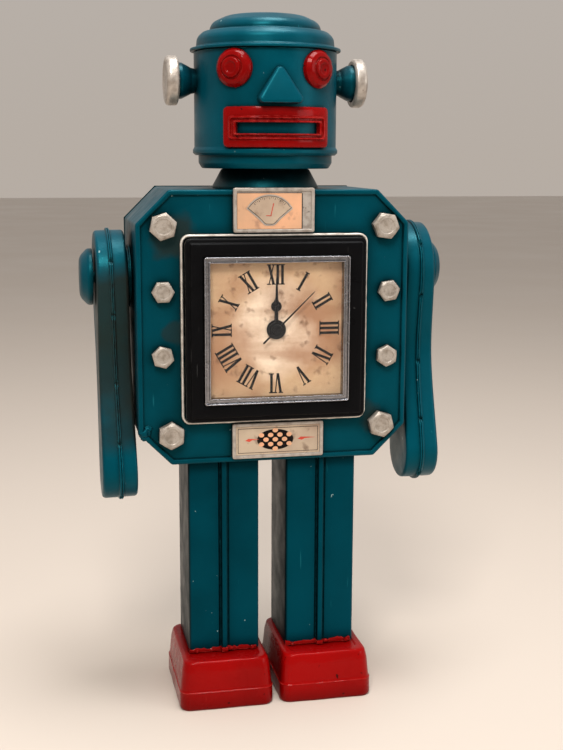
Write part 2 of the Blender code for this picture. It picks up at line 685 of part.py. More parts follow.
def nose_solid():
    """A wedge whose triangular face leans out towards its lower edge."""
    deep, edge = HEAD_RADIUS - 4.0, 0.8
    back = [(-NOSE_HALF, -deep, NOSE_LOW), (NOSE_HALF, -deep, NOSE_LOW), (0.0, -deep, NOSE_HIGH)]
    tip, top = -(HEAD_RADIUS + NOSE_PROUD), -(HEAD_RADIUS + 1.0)
    front = [
        (edge - NOSE_HALF, tip, NOSE_LOW + edge), (NOSE_HALF - edge, tip, NOSE_LOW + edge),
        (0.0, top, NOSE_HIGH - edge),
    ]
    return solid([back, front])


def mouth_solid():
    """A curved plate with a raised bead round its slot, laid out flat and wrapped round the head."""
    radius = HEAD_RADIUS
    middle = (MOUTH_LOW + MOUTH_HIGH) / 2
    half_x, half_y = radius * MOUTH_HALF_ANGLE, (MOUTH_HIGH - MOUTH_LOW) / 2
    slot_x, slot_y = radius * SLOT_HALF_ANGLE, (SLOT_HIGH - SLOT_LOW) / 2
    slot_middle = (SLOT_LOW + SLOT_HIGH) / 2
    # Each outline is half width, half height, corner radius, middle height and distance from the head's axis.
    outlines = [
        (half_x, half_y, 2.6, middle, radius + 0.4),
        (half_x, half_y, 2.6, middle, radius + 1.4),
        (half_x - 0.8, half_y - 0.8, 2.0, middle, radius + 2.0),
        (slot_x + 3.6, slot_y + 3.0, 2.0, slot_middle, radius + 2.0),
        (slot_x + 2.8, slot_y + 2.2, 1.6, slot_middle, radius + 3.0),
        (slot_x + 0.8, slot_y + 0.8, 0.8, slot_middle, radius + 3.0),
        (slot_x, slot_y, 0.5, slot_middle, radius + 2.4),
        (slot_x, slot_y, 0.5, slot_middle, radius + 0.4),
    ]
    loops = []
    for across, up, corner, height, distance in outlines:
        loop = wrapped_rectangle(across, up, corner)
        loops.append([on_head(x / radius, height + y, distance) for x, y in loop])
    return solid(loops, ring=True)


def wrapped_rectangle(half_x, half_y, corner, per_side=9):
    """A rounded rectangle with evenly divided long sides, so that it can be wrapped round a cylinder."""
    points = []
    corners = rounded_rectangle(half_x, half_y, corner, 2)
    for i, (x, y) in enumerate(corners):
        points.append((x, y))
        if i in (2, 8):
            following = corners[(i + 1) % len(corners)][0]
            points += [(x + (following - x) * step / per_side, y) for step in range(1, per_side)]
    return points


def make_ears(head, finishes):
    """A flared cup on each side of the head, and a disc with a rolled edge on its end."""
    stub = [(6.8, HEAD_RADIUS + 0.4), (7.4, 41.6), (8.8, 44.0), (9.8, 47.0), (9.8, 48.8)]
    out, wide, rear = EAR_OUT, EAR_RADIUS, EAR_OUT - EAR_THICK
    disc = [
        (3.0, out), (wide - 3.2, out), (wide - 1.2, out - 0.7), (wide - 0.2, out - 2.2), (wide, out - 4.4),
        (wide - 0.8, rear + 0.5), (10.2, rear), (10.2, rear + 1.0), (11.6, rear + 1.3), (12.0, out - 2.6),
        (11.0, out - TIN), (3.0, out - TIN),
    ]
    for side, sign in SIDES.items():
        turn = Matrix.Rotation(sign * math.pi / 2, 3, "Y")
        place = (0.0, 0.0, EAR_Z)
        piece(f"ear_cup_{side}", turned(stub, 24), finishes["teal"], head, place, turn)
        piece(f"ear_disc_{side}", turned(disc, 24), finishes["silver"], head, place, turn)


# ------------------------------------------------------------ arms


def lobe_curve(start, start_slope, end, end_slope, steps):
    """Points strictly between two (distance, half width) ends of a smooth cubic with the given slopes."""
    span = end[0] - start[0]
    points = []
    for i in range(1, steps):
        t = i / steps
        blend = 3 * t**2 - 2 * t**3
        width = start[1] + (end[1] - start[1]) * blend
        width += span * (start_slope * (t**3 - 2 * t**2 + t) + end_slope * (t**3 - t**2))
        points.append((start[0] + span * t, width))
    return points


def arm_outline():
    """The side view of an arm about the shoulder pivot, counter-clockwise, with the hand forward and down."""
    length = math.hypot(HAND_FORWARD, HAND_DOWN)
    leave, arrive = math.radians(80), math.radians(85)
    shoulder_end = (SHOULDER_RADIUS * math.cos(leave), SHOULDER_RADIUS * math.sin(leave))
    hand_start = (length - HAND_RADIUS * math.cos(arrive), HAND_RADIUS * math.sin(arrive))
    waist = (WAIST_AT, WAIST_HALF)
    side = lobe_curve(shoulder_end, -1 / math.tan(leave), waist, 0.0, 3) + [waist]
    side += lobe_curve(waist, 0.0, hand_start, 1 / math.tan(arrive), 3)
    outline = arc(SHOULDER_RADIUS, leave, math.tau - leave, 12)
    outline += [(u, -v) for u, v in side]
    outline += arc(HAND_RADIUS, arrive - math.pi, math.pi - arrive, 8, (length, 0.0))
    outline += list(reversed(side))
    lean = math.atan2(-HAND_DOWN, HAND_FORWARD)
    return [tuple(Matrix.Rotation(lean, 2) @ Vector(point)) for point in outline]


def arm_half(outline, height, swell):
    """A pressed tray that is open at the seam and has a flange round it. Its floor has a hole for the pin,
    and rises by swell from the pivot to the hand."""
    side, depth = math.copysign(1, height), abs(height)
    seam, flange = GAP / 2, GAP / 2 + FLANGE_THICK

    def level(loop, above_seam):
        return at(loop, side * above_seam)

    def sloping(loop, above_seam):
        return [(x, y, side * (above_seam - swell * y / HAND_DOWN)) for x, y in loop]

    hole = circle(PIN_HOLE, 16)
    return solid([
        level(offset(outline, FLANGE_WIDTH), seam),
        level(offset(outline, FLANGE_WIDTH), flange),
        level(outline, flange),
        sloping(outline, depth - TIN),
        sloping(offset(outline, -TIN), depth),
        sloping(hole, depth),
        sloping(hole, depth - TIN),
        sloping(offset(outline, -2 * TIN), depth - TIN),
        sloping(offset(outline, -TIN), depth - 2 * TIN),
        level(offset(outline, -TIN), seam),
    ], ring=True)


def make_arms(robot, finishes):
    """Each arm's own axes are forward or back, up, and outward, with its seam in the pivot's plane."""
    for side, sign in SIDES.items():
        basis = Matrix(((0, 0, sign), (sign, 0, 0), (0, 1, 0)))
        lean = Matrix.Rotation(-ARM_LEAN[side], 3, "Y")
        place = (sign * ARM_X, SHOULDER_Y, SHOULDER_Z[side])
        shoulder = empty(f"shoulder_{side}", robot, place, lean @ basis)
        outline = arm_outline()
        if sign > 0:
            outline = [(-x, y) for x, y in reversed(outline)]
        piece(f"arm_outer_{side}", arm_half(outline, ARM_OUTER, ARM_SWELL), finishes["teal"], shoulder)
        piece(f"arm_inner_{side}", arm_half(outline, -ARM_INNER, 0.0), finishes["teal"], shoulder)
        pin_place = empty(f"pin_{side}", robot, place, basis)
        piece(f"shoulder_pin_{side}", shoulder_pin(), finishes["teal"], pin_place)


def shoulder_pin():
    """Nut, shank through the torso wall, two spacer discs, shank through the arm, and a domed head."""
    wall = TORSO_HALF - ARM_X
    nut, spacer = wall - TIN - GAP, wall + 0.6
    dome, start, end = DOME_RADIUS, ARM_OUTER + 1.2, DOME_OUT
    return turned([
        (6.0, nut - 2.5), (6.0, nut), (PIN_RADIUS, nut), (PIN_RADIUS, spacer), (17.5, spacer),
        (17.5, spacer + 0.8), (15.5, spacer + 0.9), (15.5, spacer + 1.6), (PIN_RADIUS, spacer + 1.6),
        (PIN_RADIUS, start), (dome, start), (dome, start + 2.4), (dome - 1.6, start + 5.0),
        (dome - 4.6, end - 0.6), (dome - 9.0, end),
    ], 24)


# ------------------------------------------------------------ legs and feet


def make_legs(robot, finishes):
    for side, sign in SIDES.items():
        make_leg(side, robot, finishes, sign * LEG_X)
        make_foot(side, robot, finishes, sign * FOOT_X)


def make_leg(side, robot, finishes, x):
    """A folded tube with a rib down the middle of its front."""
    half, front, rear, corner = LEG_HALF, LEG_FRONT, LEG_REAR, 1.5
    outer = mirrored([
        (0.7 * RIB_HALF, front - RIB_PROUD), (RIB_HALF, front), (half - corner, front),
        (half, front + corner), (half, rear - corner), (half - corner, rear),
    ])
    wall, inner_front, inner_rear = half - TIN, front + TIN, rear - TIN
    inner = [(-wall, inner_front), (wall, inner_front), (wall, inner_rear), (-wall, inner_rear)]
    low, high = FOOT_HIGH + GAP, TORSO_LOW - GAP
    tube = solid([at(outer, low), at(outer, high), at(inner, high), at(inner, low)], ring=True)
    piece(f"leg_{side}", tube, finishes["teal"], robot, (x, 0.0, 0.0))


def make_foot(side, robot, finishes, x):
    """A pressed shell that is open below, and the sole plate that closes it."""
    middle_y, half_y = (FOOT_FRONT + FOOT_REAR) / 2, (FOOT_REAR - FOOT_FRONT) / 2
    high, seam = FOOT_HIGH, FOOT_SEAM
    outside = [
        (5.2, high), (3.4, high - 0.6), (1.6, high - 3.0), (0.8, high - 6.0), (0.3, seam + 0.8), (0.8, seam),
        (0.0, seam - 0.8), (0.0, 0.0),
    ]
    inside = [(1.3, 0.0), (1.9, high - 6.0), (4.4, high - 1.6)]
    loops = [
        at(rounded_rectangle(FOOT_HALF_X - inset, half_y - inset, max(1.5, 5.0 - inset), 3), z)
        for inset, z in outside + inside
    ]
    place = (x, middle_y, 0.0)
    piece(f"foot_{side}", solid(loops), finishes["red"], robot, place)
    sole_outline = rounded_rectangle(FOOT_HALF_X - 1.7, half_y - 1.7, 3.4, 3)
    sole = solid([at(sole_outline, 0.0), at(sole_outline, 1.5)])
    piece(f"sole_{side}", sole, finishes["red"], robot, place)


# ------------------------------------------------------------ the whole robot


def main():
    for old in list(bpy.data.objects):
        bpy.data.objects.remove(old)
    finishes = {
        "teal": paint("teal_paint", (0.0, 0.07, 0.085), 0.38),
        "dark": paint("dark_teal_paint", (0.0, 0.025, 0.032), 0.45),
        "red": paint("red_enamel", (0.42, 0.008, 0.01), 0.25),
        "nickel": paint("dull_nickel", (0.55, 0.5, 0.43), 0.4, 0.6),
        "silver": paint("silver_paint", (0.58, 0.55, 0.5), 0.4, 0.5),
        "chrome": paint("chrome", (0.75, 0.75, 0.78), 0.12, 1.0),
        "black": paint("black_plastic", (0.008, 0.008, 0.009), 0.3),
        "dial": paint("dial_paper", (0.62, 0.46, 0.29), 0.7),
        "glass": paint("clear_glass", (0.9, 0.92, 0.92), 0.05),
        "brass": paint("brass", (0.6, 0.42, 0.15), 0.3, 1.0),
        "steel": paint("steel", (0.5, 0.5, 0.5), 0.3, 1.0),
        "blued": paint("blued_steel", (0.08, 0.1, 0.2), 0.3, 1.0),
    }
    robot = empty("robot", place=(0.0, BODY_Y, 0.0))
    front = empty("torso_front", robot, turn=Matrix.Rotation(math.pi / 2, 3, "X"))
    clock = empty("clock_axis", front, (0.0, CLOCK_Z, 0.0))
    head = empty("head_axis", robot, (HEAD_X, HEAD_Y, 0.0))

    make_torso(front, finishes)
    make_bolts(front, finishes)
    make_label("top_label", TOP_LABEL, front, finishes)
    make_label("bottom_label", BOTTOM_LABEL, front, finishes)
    make_clock_front(clock, finishes)
    make_hands(clock, finishes)
    make_movement(clock, finishes)
    make_neck(robot, finishes)
    make_head_shells(head, finishes)
    make_face(head, finishes)
    make_ears(head, finishes)
    make_arms(robot, finishes)
    make_legs(robot, finishes)


main()
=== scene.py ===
"""The look of the tin wind-up robot: smooth skins over its CAD pieces, worn paint and a printed dial.

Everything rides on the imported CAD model. The robot faces -Y with +Z up, and "left" is -X.
"""

import json
import math

import bmesh
import bpy
from mathutils import Matrix, Vector, noise


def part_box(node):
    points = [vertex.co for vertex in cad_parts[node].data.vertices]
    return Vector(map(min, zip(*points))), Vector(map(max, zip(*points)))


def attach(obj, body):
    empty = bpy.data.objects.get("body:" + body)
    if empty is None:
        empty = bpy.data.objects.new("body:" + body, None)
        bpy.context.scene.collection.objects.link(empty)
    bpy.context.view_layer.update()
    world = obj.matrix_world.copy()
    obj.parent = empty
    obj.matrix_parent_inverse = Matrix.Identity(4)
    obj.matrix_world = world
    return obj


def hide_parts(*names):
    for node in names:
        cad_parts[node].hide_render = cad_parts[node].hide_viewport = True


MM = 0.001  # lengths below are in millimetres
SHARP = math.radians(35)
SIDES = {"left": -1, "right": 1}

UPRIGHT = Matrix.Rotation(math.pi / 2, 4, "X")  # stands a drawing up to face the robot's front

# Sheet metal and gaps, as in the CAD
TIN = 1.2
GAP = 0.3


# ---------------- Places, all read from the CAD


def middle(node):
    low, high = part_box(node)
    return (low + high) / (2 * MM)


def half_size(node):
    low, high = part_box(node)
    return (high - low) / (2 * MM)


def top_of(node):
    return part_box(node)[1].z / MM


def bottom_of(node):
    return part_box(node)[0].z / MM


def front_frame(x, z):
    """Local axes on the robot's front: x, up, and distance forward from the torso's middle plane."""
    return Matrix.Translation((x, middle("torso_shell").y, z)) @ UPRIGHT


def front_of(node):
    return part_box(node)[0].y / MM


def joint_named(name):
    return next(joint for joint in frame["joints"] if joint["name"] == name)


def forward(node, face="front"):
    """How far a node's front or back reaches forward of the torso's middle plane."""
    low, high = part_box(node)
    return middle("torso_shell").y - (low.y if face == "front" else high.y) / MM


# ---------------- Outlines


def polar(radius, angle, centre=(0.0, 0.0)):
    return (centre[0] + radius * math.cos(angle), centre[1] + radius * math.sin(angle))


def around(steps):
    """Evenly spaced angles, once round."""
    return [math.tau * i / steps for i in range(steps)]


def circle(radius, steps=64):
    return [polar(radius, angle) for angle in around(steps)]


def ellipse(x, y, half_x, half_y, steps):
    return [(x + half_x * u, y + half_y * v) for u, v in circle(1.0, steps)]


def arc(radius, start, end, steps, centre=(0.0, 0.0)):
    return [polar(radius, start + (end - start) * i / steps, centre) for i in range(steps + 1)]


def rounded(corners, closed=True, steps=4):
    """A path through (x, y) or (x, y, radius) corners, each with its radius drawn as an arc."""
    points = []
    count = len(corners)
    for i, (x, y, *radius) in enumerate(corners):
        if not radius or (not closed and i in (0, count - 1)):
            points.append((x, y))
            continue
        here = Vector((x, y))
        back = (Vector(corners[i - 1][:2]) - here).normalized()
        ahead = (Vector(corners[(i + 1) % count][:2]) - here).normalized()
        half = back.angle(ahead) / 2
        centre = here + (back + ahead).normalized() * radius[0] / math.sin(half)
        start = here + back * radius[0] / math.tan(half) - centre
        end = here + ahead * radius[0] / math.tan(half) - centre
        first = math.atan2(start.y, start.x)
        turn = (math.atan2(end.y, end.x) - first + math.pi) % math.tau - math.pi
        points += arc(radius[0], first, first + turn, steps, centre)
    return points


def rectangle(half_x, half_y, radius, centre=(0.0, 0.0), steps=6):
    corners = [(1, 1), (-1, 1), (-1, -1), (1, -1)]
    return rounded(
        [(centre[0] + x * half_x, centre[1] + y * half_y, radius) for x, y in corners], steps=steps
    )


def sided_rectangle(half_x, half_y, radius, per_side, steps=6):
    """A rounded rectangle whose four straight sides are each divided evenly."""
    outline = rectangle(half_x, half_y, radius, steps=steps)
    points = []
    for i, start in enumerate(outline):
        end = outline[(i + 1) % len(outline)]
        count = per_side if i % (steps + 1) == steps else 1
        points += [tuple(Vector(start).lerp(Vector(end), k / count)) for k in range(count)]
    return points


def divided(outline, longest):
    """The same outline with points added along its long edges."""
    points = []
    for (x0, y0), (x1, y1) in zip(outline, outline[1:] + outline[:1]):
        count = max(1, round(math.hypot(x1 - x0, y1 - y0) / longest))
        points += [(x0 + (x1 - x0) * i / count, y0 + (y1 - y0) * i / count) for i in range(count)]
    return points


def offset(outline, distance):
    """A smooth counter-clockwise outline, grown by distance."""
    points = []
    for before, (x, y), after in zip(outline[-1:] + outline[:-1], outline, outline[1:] + outline[:1]):
        along = Vector((after[0] - before[0], after[1] - before[1])).normalized()
        points.append((x + along.y * distance, y - along.x * distance))
    return points


def at(outline, height):
    return [(x, y, height) for x, y in outline]


# ---------------- Meshes, in millimetres


def join(bm, low, high):
    """Quads between two rows of vertices."""
    for i in range(len(low)):
        j = (i + 1) % len(low)
        bm.faces.new([low[i], low[j], high[j], high[i]])


def skin(loops, ring=False):
    """Quads through loops of equal length, capped at both ends or joined into a ring."""
    bm = bmesh.new()
    rows = [[bm.verts.new(point) for point in loop] for loop in loops]
    pairs = list(zip(rows, rows[1:]))
    if ring:
        pairs.append((rows[-1], rows[0]))
    else:
        bm.faces.new(rows[0])
        bm.faces.new(rows[-1])
    for low, high in pairs:
        join(bm, low, high)
    bmesh.ops.recalc_face_normals(bm, faces=bm.faces)
    return bm


def turned(corners, steps=96, ring=False, arc_steps=4):
    """(radius, height) or (radius, height, rounding) corners, turned round the height axis."""
    profile = rounded(corners, closed=ring, steps=arc_steps)
    return skin([at(circle(radius, steps), height) for radius, height in profile], ring)


def prisms(shapes, low, high):
    """One flat prism for each outline."""
    bm = bmesh.new()
    for shape in shapes:
        bottom = [bm.verts.new(point) for point in at(shape, low)]
        top = [bm.verts.new(point) for point in at(shape, high)]
        bm.faces.new(bottom)
        bm.faces.new(top)
        join(bm, bottom, top)
    bmesh.ops.recalc_face_normals(bm, faces=bm.faces)
    return bm


def dented(bm, depth, size):
    """Presses shallow, random hollows of about the given size into a mesh."""
    bm.normal_update()
    moves = [vert.normal * depth * (noise.noise(vert.co / size) - 1) / 2 for vert in bm.verts]
    for vert, move in zip(bm.verts, moves):
        vert.co += move
    return bm


def lump(centre, radii):
    """An uneven blob of solder or paint."""
    bm = bmesh.new()
    bmesh.ops.create_icosphere(bm, subdivisions=4, radius=1.0)
    for vert in bm.verts:
        bulge = 1 + 0.3 * noise.noise(vert.co * 1.7 + Vector(centre))
        vert.co = Vector(centre) + Vector([co * radius * bulge for co, radius in zip(vert.co, radii)])
    return bm


def linked(name, data):
    """A new object in the scene."""
    made = bpy.data.objects.new(name, data)
    bpy.context.scene.collection.objects.link(made)
    return made


def dress(mesh, material):
    """Gives a mesh its material and smooth shading, with its sharp edges kept."""
    mesh.materials.append(material)
    mesh.shade_smooth()
    mesh.set_sharp_from_angle(angle=SHARP)


def piece(name, bm, place, finish, body, *nodes):
    """Puts a mesh in the scene on its CAD body, in place of any CAD nodes it stands for."""
    bm.transform(Matrix.Scale(MM, 4) @ place)
    mesh = bpy.data.meshes.new(name)
    bm.to_mesh(mesh)
    bm.free()
    slot, material = finishes[finish]
    dress(mesh, material)
    made = linked(name, mesh)
    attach(made, body)
    if nodes:
        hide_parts(*nodes)


def repaint(finish, *nodes):
    """Gives CAD nodes that keep their shape a finished material."""
    for node in nodes:
        mesh = frame["nodes"][node].data
        mesh.materials.clear()
        dress(mesh, finishes[finish][1])


# ---------------- Materials


class Surface:
    """A Principled material and short ways to add nodes to it."""

    def __init__(self, name, colour, roughness, metallic=0.0, **settings):
        self.material = bpy.data.materials.new(name)
        self.material.use_nodes = True
        self.tree = self.material.node_tree
        self.shader = self.tree.nodes["Principled BSDF"]
        self.set("Base Color", (*colour, 1.0))
        self.set("Roughness", roughness)
        self.set("Metallic", metallic)
        for socket, value in settings.items():
            self.set(socket.replace("_", " "), value)
        self.place = self.node("ShaderNodeTexCoord").outputs["Object"]

    def set(self, socket, value):
        self.shader.inputs[socket].default_value = value

    def node(self, kind, **settings):
        made = self.tree.nodes.new(kind)
        for key, value in settings.items():
            setattr(made, key, value)
        return made

    def link(self, source, target):
        self.tree.links.new(source, target)

    def noise(self, scale, detail=3.0, stretch=None):
        """Noise in the object's own space. scale is in cycles a metre."""
        texture = self.node("ShaderNodeTexNoise")
        texture.inputs["Scale"].default_value = scale
        texture.inputs["Detail"].default_value = detail
        source = self.place
        if stretch is not None:
            mapping = self.node("ShaderNodeMapping")
            mapping.inputs["Scale"].default_value = stretch
            self.link(source, mapping.inputs["Vector"])
            source = mapping.outputs["Vector"]
        self.link(source, texture.inputs["Vector"])
        return texture.outputs["Fac"]

    def ramp(self, source, low, high, start=0.0, end=1.0):
        """source mapped from low..high to start..end, and held at both ends."""
        mapped = self.node("ShaderNodeMapRange")
        self.link(source, mapped.inputs["Value"])
        for socket, value in (("From Min", low), ("From Max", high), ("To Min", start), ("To Max", end)):
            mapped.inputs[socket].default_value = value
        return mapped.outputs["Result"]

    def math(self, operation, first, second):
        made = self.node("ShaderNodeMath", operation=operation)
        for socket, value in zip(made.inputs, (first, second)):
            if isinstance(value, float):
                socket.default_value = value
            else:
                self.link(value, socket)
        return made.outputs[0]

    def mix(self, amount, first, second):
        """Blends two colours, each a tuple or a node's output, by a node's output."""
        made = self.node("ShaderNodeMix", data_type="RGBA")
        self.link(amount, made.inputs["Factor"])
        for socket, colour in zip((made.inputs[6], made.inputs[7]), (first, second)):
            if isinstance(colour, tuple):
                socket.default_value = (*colour, 1.0)
            else:
                self.link(colour, socket)
        return made.outputs[2]

    def normal(self):
        return self.node("ShaderNodeNewGeometry").outputs["Normal"]

    def vector_math(self, operation, source, other):
        """A number from two vectors. other is a node's output or a fixed vector."""
        made = self.node("ShaderNodeVectorMath", operation=operation)
        self.link(source, made.inputs[0])
        if isinstance(other, bpy.types.NodeSocket):
            self.link(other, made.inputs[1])
        else:
            made.inputs[1].default_value = other
        return made.outputs["Value"]

    def edges(self, radius, gain):
        """About 0 on flat areas and 1 on edges sharper than radius."""
        bevel = self.node("ShaderNodeBevel", samples=4)
        bevel.inputs["Radius"].default_value = radius
        flat = self.vector_math("DOT_PRODUCT", bevel.outputs["Normal"], self.normal())
        return self.ramp(flat, 1.0, 1.0 - gain)

    def open_air(self, distance, low, high):
        """0 in corners and under overhangs narrower than distance, and 1 in the open."""
        hidden = self.node("ShaderNodeAmbientOcclusion", samples=8)
        hidden.inputs["Distance"].default_value = distance
        return self.ramp(hidden.outputs["AO"], low, high)

    def facing(self, direction):
        """How far the surface faces a direction, from -1 to 1."""
        return self.vector_math("DOT_PRODUCT", self.normal(), direction)

    def far_from(self, point):
        """Distance in metres from a point."""
        return self.vector_math("DISTANCE", self.place, point)

    def bump(self, height, strength, distance=0.0005):
        made = self.node("ShaderNodeBump")
        made.inputs["Strength"].default_value = strength
        made.inputs["Distance"].default_value = distance
        self.link(height, made.inputs["Height"])
        self.link(made.outputs["Normal"], self.shader.inputs["Normal"])

    def colour(self, source):
        self.link(source, self.shader.inputs["Base Color"])

    def rough(self, source):
        self.link(source, self.shader.inputs["Roughness"])


def shaded(colour, factor):
    return tuple(min(1.0, channel * factor) for channel in colour)


TEAL, RUBBED, CHIPPED = (0.0, 0.042, 0.063), (0.012, 0.14, 0.17), (0.2, 0.3, 0.3)
TEAL_TINT, RED_TINT, GREY_TINT = (0.05, 0.6, 0.72), (1.0, 0.12, 0.1), (0.3, 0.3, 0.3)
NEAR_BLACK = (0.016, 0.015, 0.011)
PATCH_DRIFT = 0.015  # how far noise moves a dark patch's edge, in metres

# Areas of the paint blended towards near black: (place in metres, reach, strength)
TORSO_DARK_PATCHES = (
    ((-0.054, -0.036, 0.262), 0.014, 0.8), ((-0.056, -0.036, 0.212), 0.008, 0.6),
    ((0.055, -0.036, 0.16), 0.01, 0.6),
)
LEFT_ARM_DARK_PATCHES = (
    ((-0.086, -0.02, 0.225), 0.03, 0.9), ((-0.084, -0.02, 0.19), 0.028, 0.85),
    ((-0.082, -0.02, 0.16), 0.02, 0.6),
)


def paint(
    name, base, worn, chip, roughness, tint, chips,
    coat=0.0, gloss=0.4, grime_and_shade=0.05, dark_patches=(), shaded_side=None,
):
    """Dipped paint over tin: blotchy, with painted shade in its corners, rubbed on its edges and chipped.

    It has more chips as chips nears 0.7. Its dark patches, each (point, reach, strength), blend towards near
    black, and faces towards its shaded side are darkened to near black as painted shade.
    """
    surface = Surface(
        name, base, roughness, Specular_IOR_Level=gloss, Specular_Tint=(*tint, 1.0),
        Coat_Weight=coat, Coat_Roughness=0.1,
    )
    blotch = surface.ramp(surface.noise(36.0, 4.0), 0.35, 0.68)
    body = surface.mix(blotch, shaded(base, 0.72), base)
    sheen = surface.ramp(surface.noise(11.0, 2.0, (1.0, 1.0, 0.35)), 0.45, 0.75)
    body = surface.mix(sheen, body, shaded(base, 1.25))
    # Painted shade: darker in narrow corners and under overhangs, and more softly in wider recesses.
    near = surface.open_air(0.009, 0.45, 0.98)
    body = surface.mix(near, shaded(base, grime_and_shade), body)
    wide = surface.open_air(0.03, 0.1, 0.75)
    body = surface.mix(wide, shaded(base, grime_and_shade + 0.07), body)
    # Areas blended towards near black, with noisy edges.
    for point, reach, strength in dark_patches:
        drift = surface.math("MULTIPLY", surface.noise(55.0, 5.0), 2 * PATCH_DRIFT)
        away = surface.math("ADD", surface.far_from(point), drift)
        patch_mask = surface.ramp(away, reach + PATCH_DRIFT, reach / 2 + PATCH_DRIFT)
        patch_mask = surface.math("MULTIPLY", patch_mask, strength)
        body = surface.mix(patch_mask, body, NEAR_BLACK)
    # Painted shade: faces turned towards the given side are darkened to near black.
    if shaded_side is not None:
        body = surface.mix(surface.ramp(surface.facing(shaded_side), 0.45, 0.9), body, shaded(base, 0.12))
    fine = surface.ramp(surface.noise(420.0, 5.0), 0.4, 0.6)
    body = surface.mix(surface.math("MULTIPLY", surface.edges(0.0006, 0.3), fine), body, worn)
    scratch = surface.ramp(surface.noise(520.0, 2.0, (1.0, 1.0, 0.07)), 0.74, 0.77)
    body = surface.mix(surface.math("MULTIPLY", scratch, 0.5), body, worn)
    specks = surface.ramp(surface.noise(300.0, 2.0), chips, chips + 0.015)
    surface.colour(surface.mix(specks, body, chip))
    surface.rough(surface.ramp(surface.noise(90.0, 6.0), 0.3, 0.7, roughness - 0.08, roughness + 0.1))
    orange_peel = surface.math("ADD", surface.noise(230.0, 2.0), surface.noise(900.0, 4.0))
    surface.bump(orange_peel, 0.1)
    return surface.material


def worn_metal(name, base, grime_and_shade, roughness, metallic, grain=(1.0, 1.0, 1.0), rough_skin=0.25):
    """Dull plated or painted metal with grime in its texture, painted shade in its corners, and brighter
    edges.
    """
    surface = Surface(name, base, roughness, metallic)
    stain = surface.ramp(surface.noise(260.0, 6.0, grain), 0.34, 0.56)
    body = surface.mix(stain, grime_and_shade, base)
    # Painted shade: darker in the corners.
    body = surface.mix(surface.open_air(0.004, 0.4, 0.95), shaded(grime_and_shade, 0.3), body)
    body = surface.mix(surface.edges(0.0005, 0.3), body, shaded(base, 1.3))
    surface.colour(body)
    surface.rough(
        surface.ramp(surface.noise(480.0, 5.0, grain), 0.3, 0.7, roughness - 0.1, roughness + 0.15)
    )
    surface.bump(surface.noise(900.0, 6.0, grain), rough_skin)
    return surface.material


def aged_paper(name, base, brown, spot):
    """Printed paper with brown clouds, foxing and fibres."""
    surface = Surface(name, base, 0.7, Specular_IOR_Level=0.1)
    surface.colour(foxed(surface, base, brown, spot))
    surface.bump(surface.noise(1200.0, 3.0), 0.08)
    return surface.material


def foxed(surface, body, brown, spot):
    cloud = surface.ramp(surface.noise(34.0, 6.0), 0.44, 0.7)
    body = surface.mix(cloud, body, brown)
    freckle = surface.ramp(surface.noise(150.0, 6.0), 0.58, 0.7)
    body = surface.mix(surface.math("MULTIPLY", freckle, 0.8), body, spot)
    fibre = surface.ramp(surface.noise(700.0, 3.0), 0.3, 0.7)
    return surface.mix(surface.math("MULTIPLY", fibre, 0.12), body, brown)


def dial_print(name, centre, pale, middle_tone, brown, spot):
    """Parchment that is pale round the hands, browner towards its edges and stained down its left side."""
    surface = Surface(name, pale, 0.65, Specular_IOR_Level=0.1)
    drift = surface.math("MULTIPLY", surface.noise(45.0, 4.0), 0.016)
    away = surface.math("ADD", surface.far_from(centre), drift)
    body = surface.mix(surface.ramp(away, 0.026, 0.038), pale, middle_tone)
    left = tuple(value - shift for value, shift in zip(centre, (0.036, 0.0, 0.016)))
    stained = surface.ramp(surface.math("ADD", surface.far_from(left), drift), 0.034, 0.012)
    body = surface.mix(surface.math("MULTIPLY", stained, 0.9), body, brown)
    band = surface.noise(40.0, 3.0, (0.3, 1.0, 1.6))
    body = surface.mix(surface.math("MULTIPLY", surface.ramp(band, 0.52, 0.66), 0.6), body, brown)
    surface.colour(foxed(surface, body, brown, spot))
    surface.bump(surface.noise(1200.0, 3.0), 0.06)
    return surface.material


def clear_glass(name):
    surface = Surface(name, (1.0, 1.0, 1.0), 0.04, Alpha=0.012, Specular_IOR_Level=0.1)
    surface.rough(surface.ramp(surface.noise(60.0), 0.3, 0.7, 0.02, 0.07))
    return surface.material


# Finishes: (name, material slot, material, values, settings), with colours in linear RGB
PAINTS = (
    ("teal", "teal_paint", "teal_paint",
     (TEAL, RUBBED, CHIPPED, 0.36, TEAL_TINT, 0.765), {"dark_patches": TORSO_DARK_PATCHES}),
    # A lighter copy of the teal: painted light on the head.
    ("head", "teal_paint", "head_paint",
     (shaded(TEAL, 1.3), shaded(RUBBED, 1.4), CHIPPED, 0.36, TEAL_TINT, 0.765), {}),
    # A darker copy of the teal: painted shade on the legs, near black on faces turned to -X.
    ("leg", "teal_paint", "leg_paint", (shaded(TEAL, 0.9), RUBBED, CHIPPED, 0.42, TEAL_TINT, 0.768),
     {"gloss": 0.14, "shaded_side": (-1.0, 0.0, 0.0)}),
    # A lighter copy of the teal: painted light on the left arm.
    ("left_arm", "teal_paint", "left_arm_paint",
     (shaded(TEAL, 1.15), shaded(RUBBED, 1.2), CHIPPED, 0.38, TEAL_TINT, 0.765), {"dark_patches": LEFT_ARM_DARK_PATCHES}),
    # Near-black teal; on the neck it is painted shade under the head.
    ("dark", "dark_paint", "dark_paint",
     ((0.0, 0.018, 0.024), (0.01, 0.07, 0.08), (0.1, 0.13, 0.13), 0.4, TEAL_TINT, 0.77), {}),
    ("red", "red_enamel", "red_enamel",
     ((0.25, 0.0012, 0.0012), (0.55, 0.05, 0.04), (0.03, 0.002, 0.002), 0.26, RED_TINT, 0.73, 0.14),
     {"gloss": 0.12, "grime_and_shade": 0.5}),
    ("black", "black_plastic", "black_plastic",
     ((0.0035, 0.0035, 0.004), (0.05, 0.05, 0.05), (0.03, 0.03, 0.03), 0.34, GREY_TINT, 0.78),
     {"gloss": 0.15}),
)
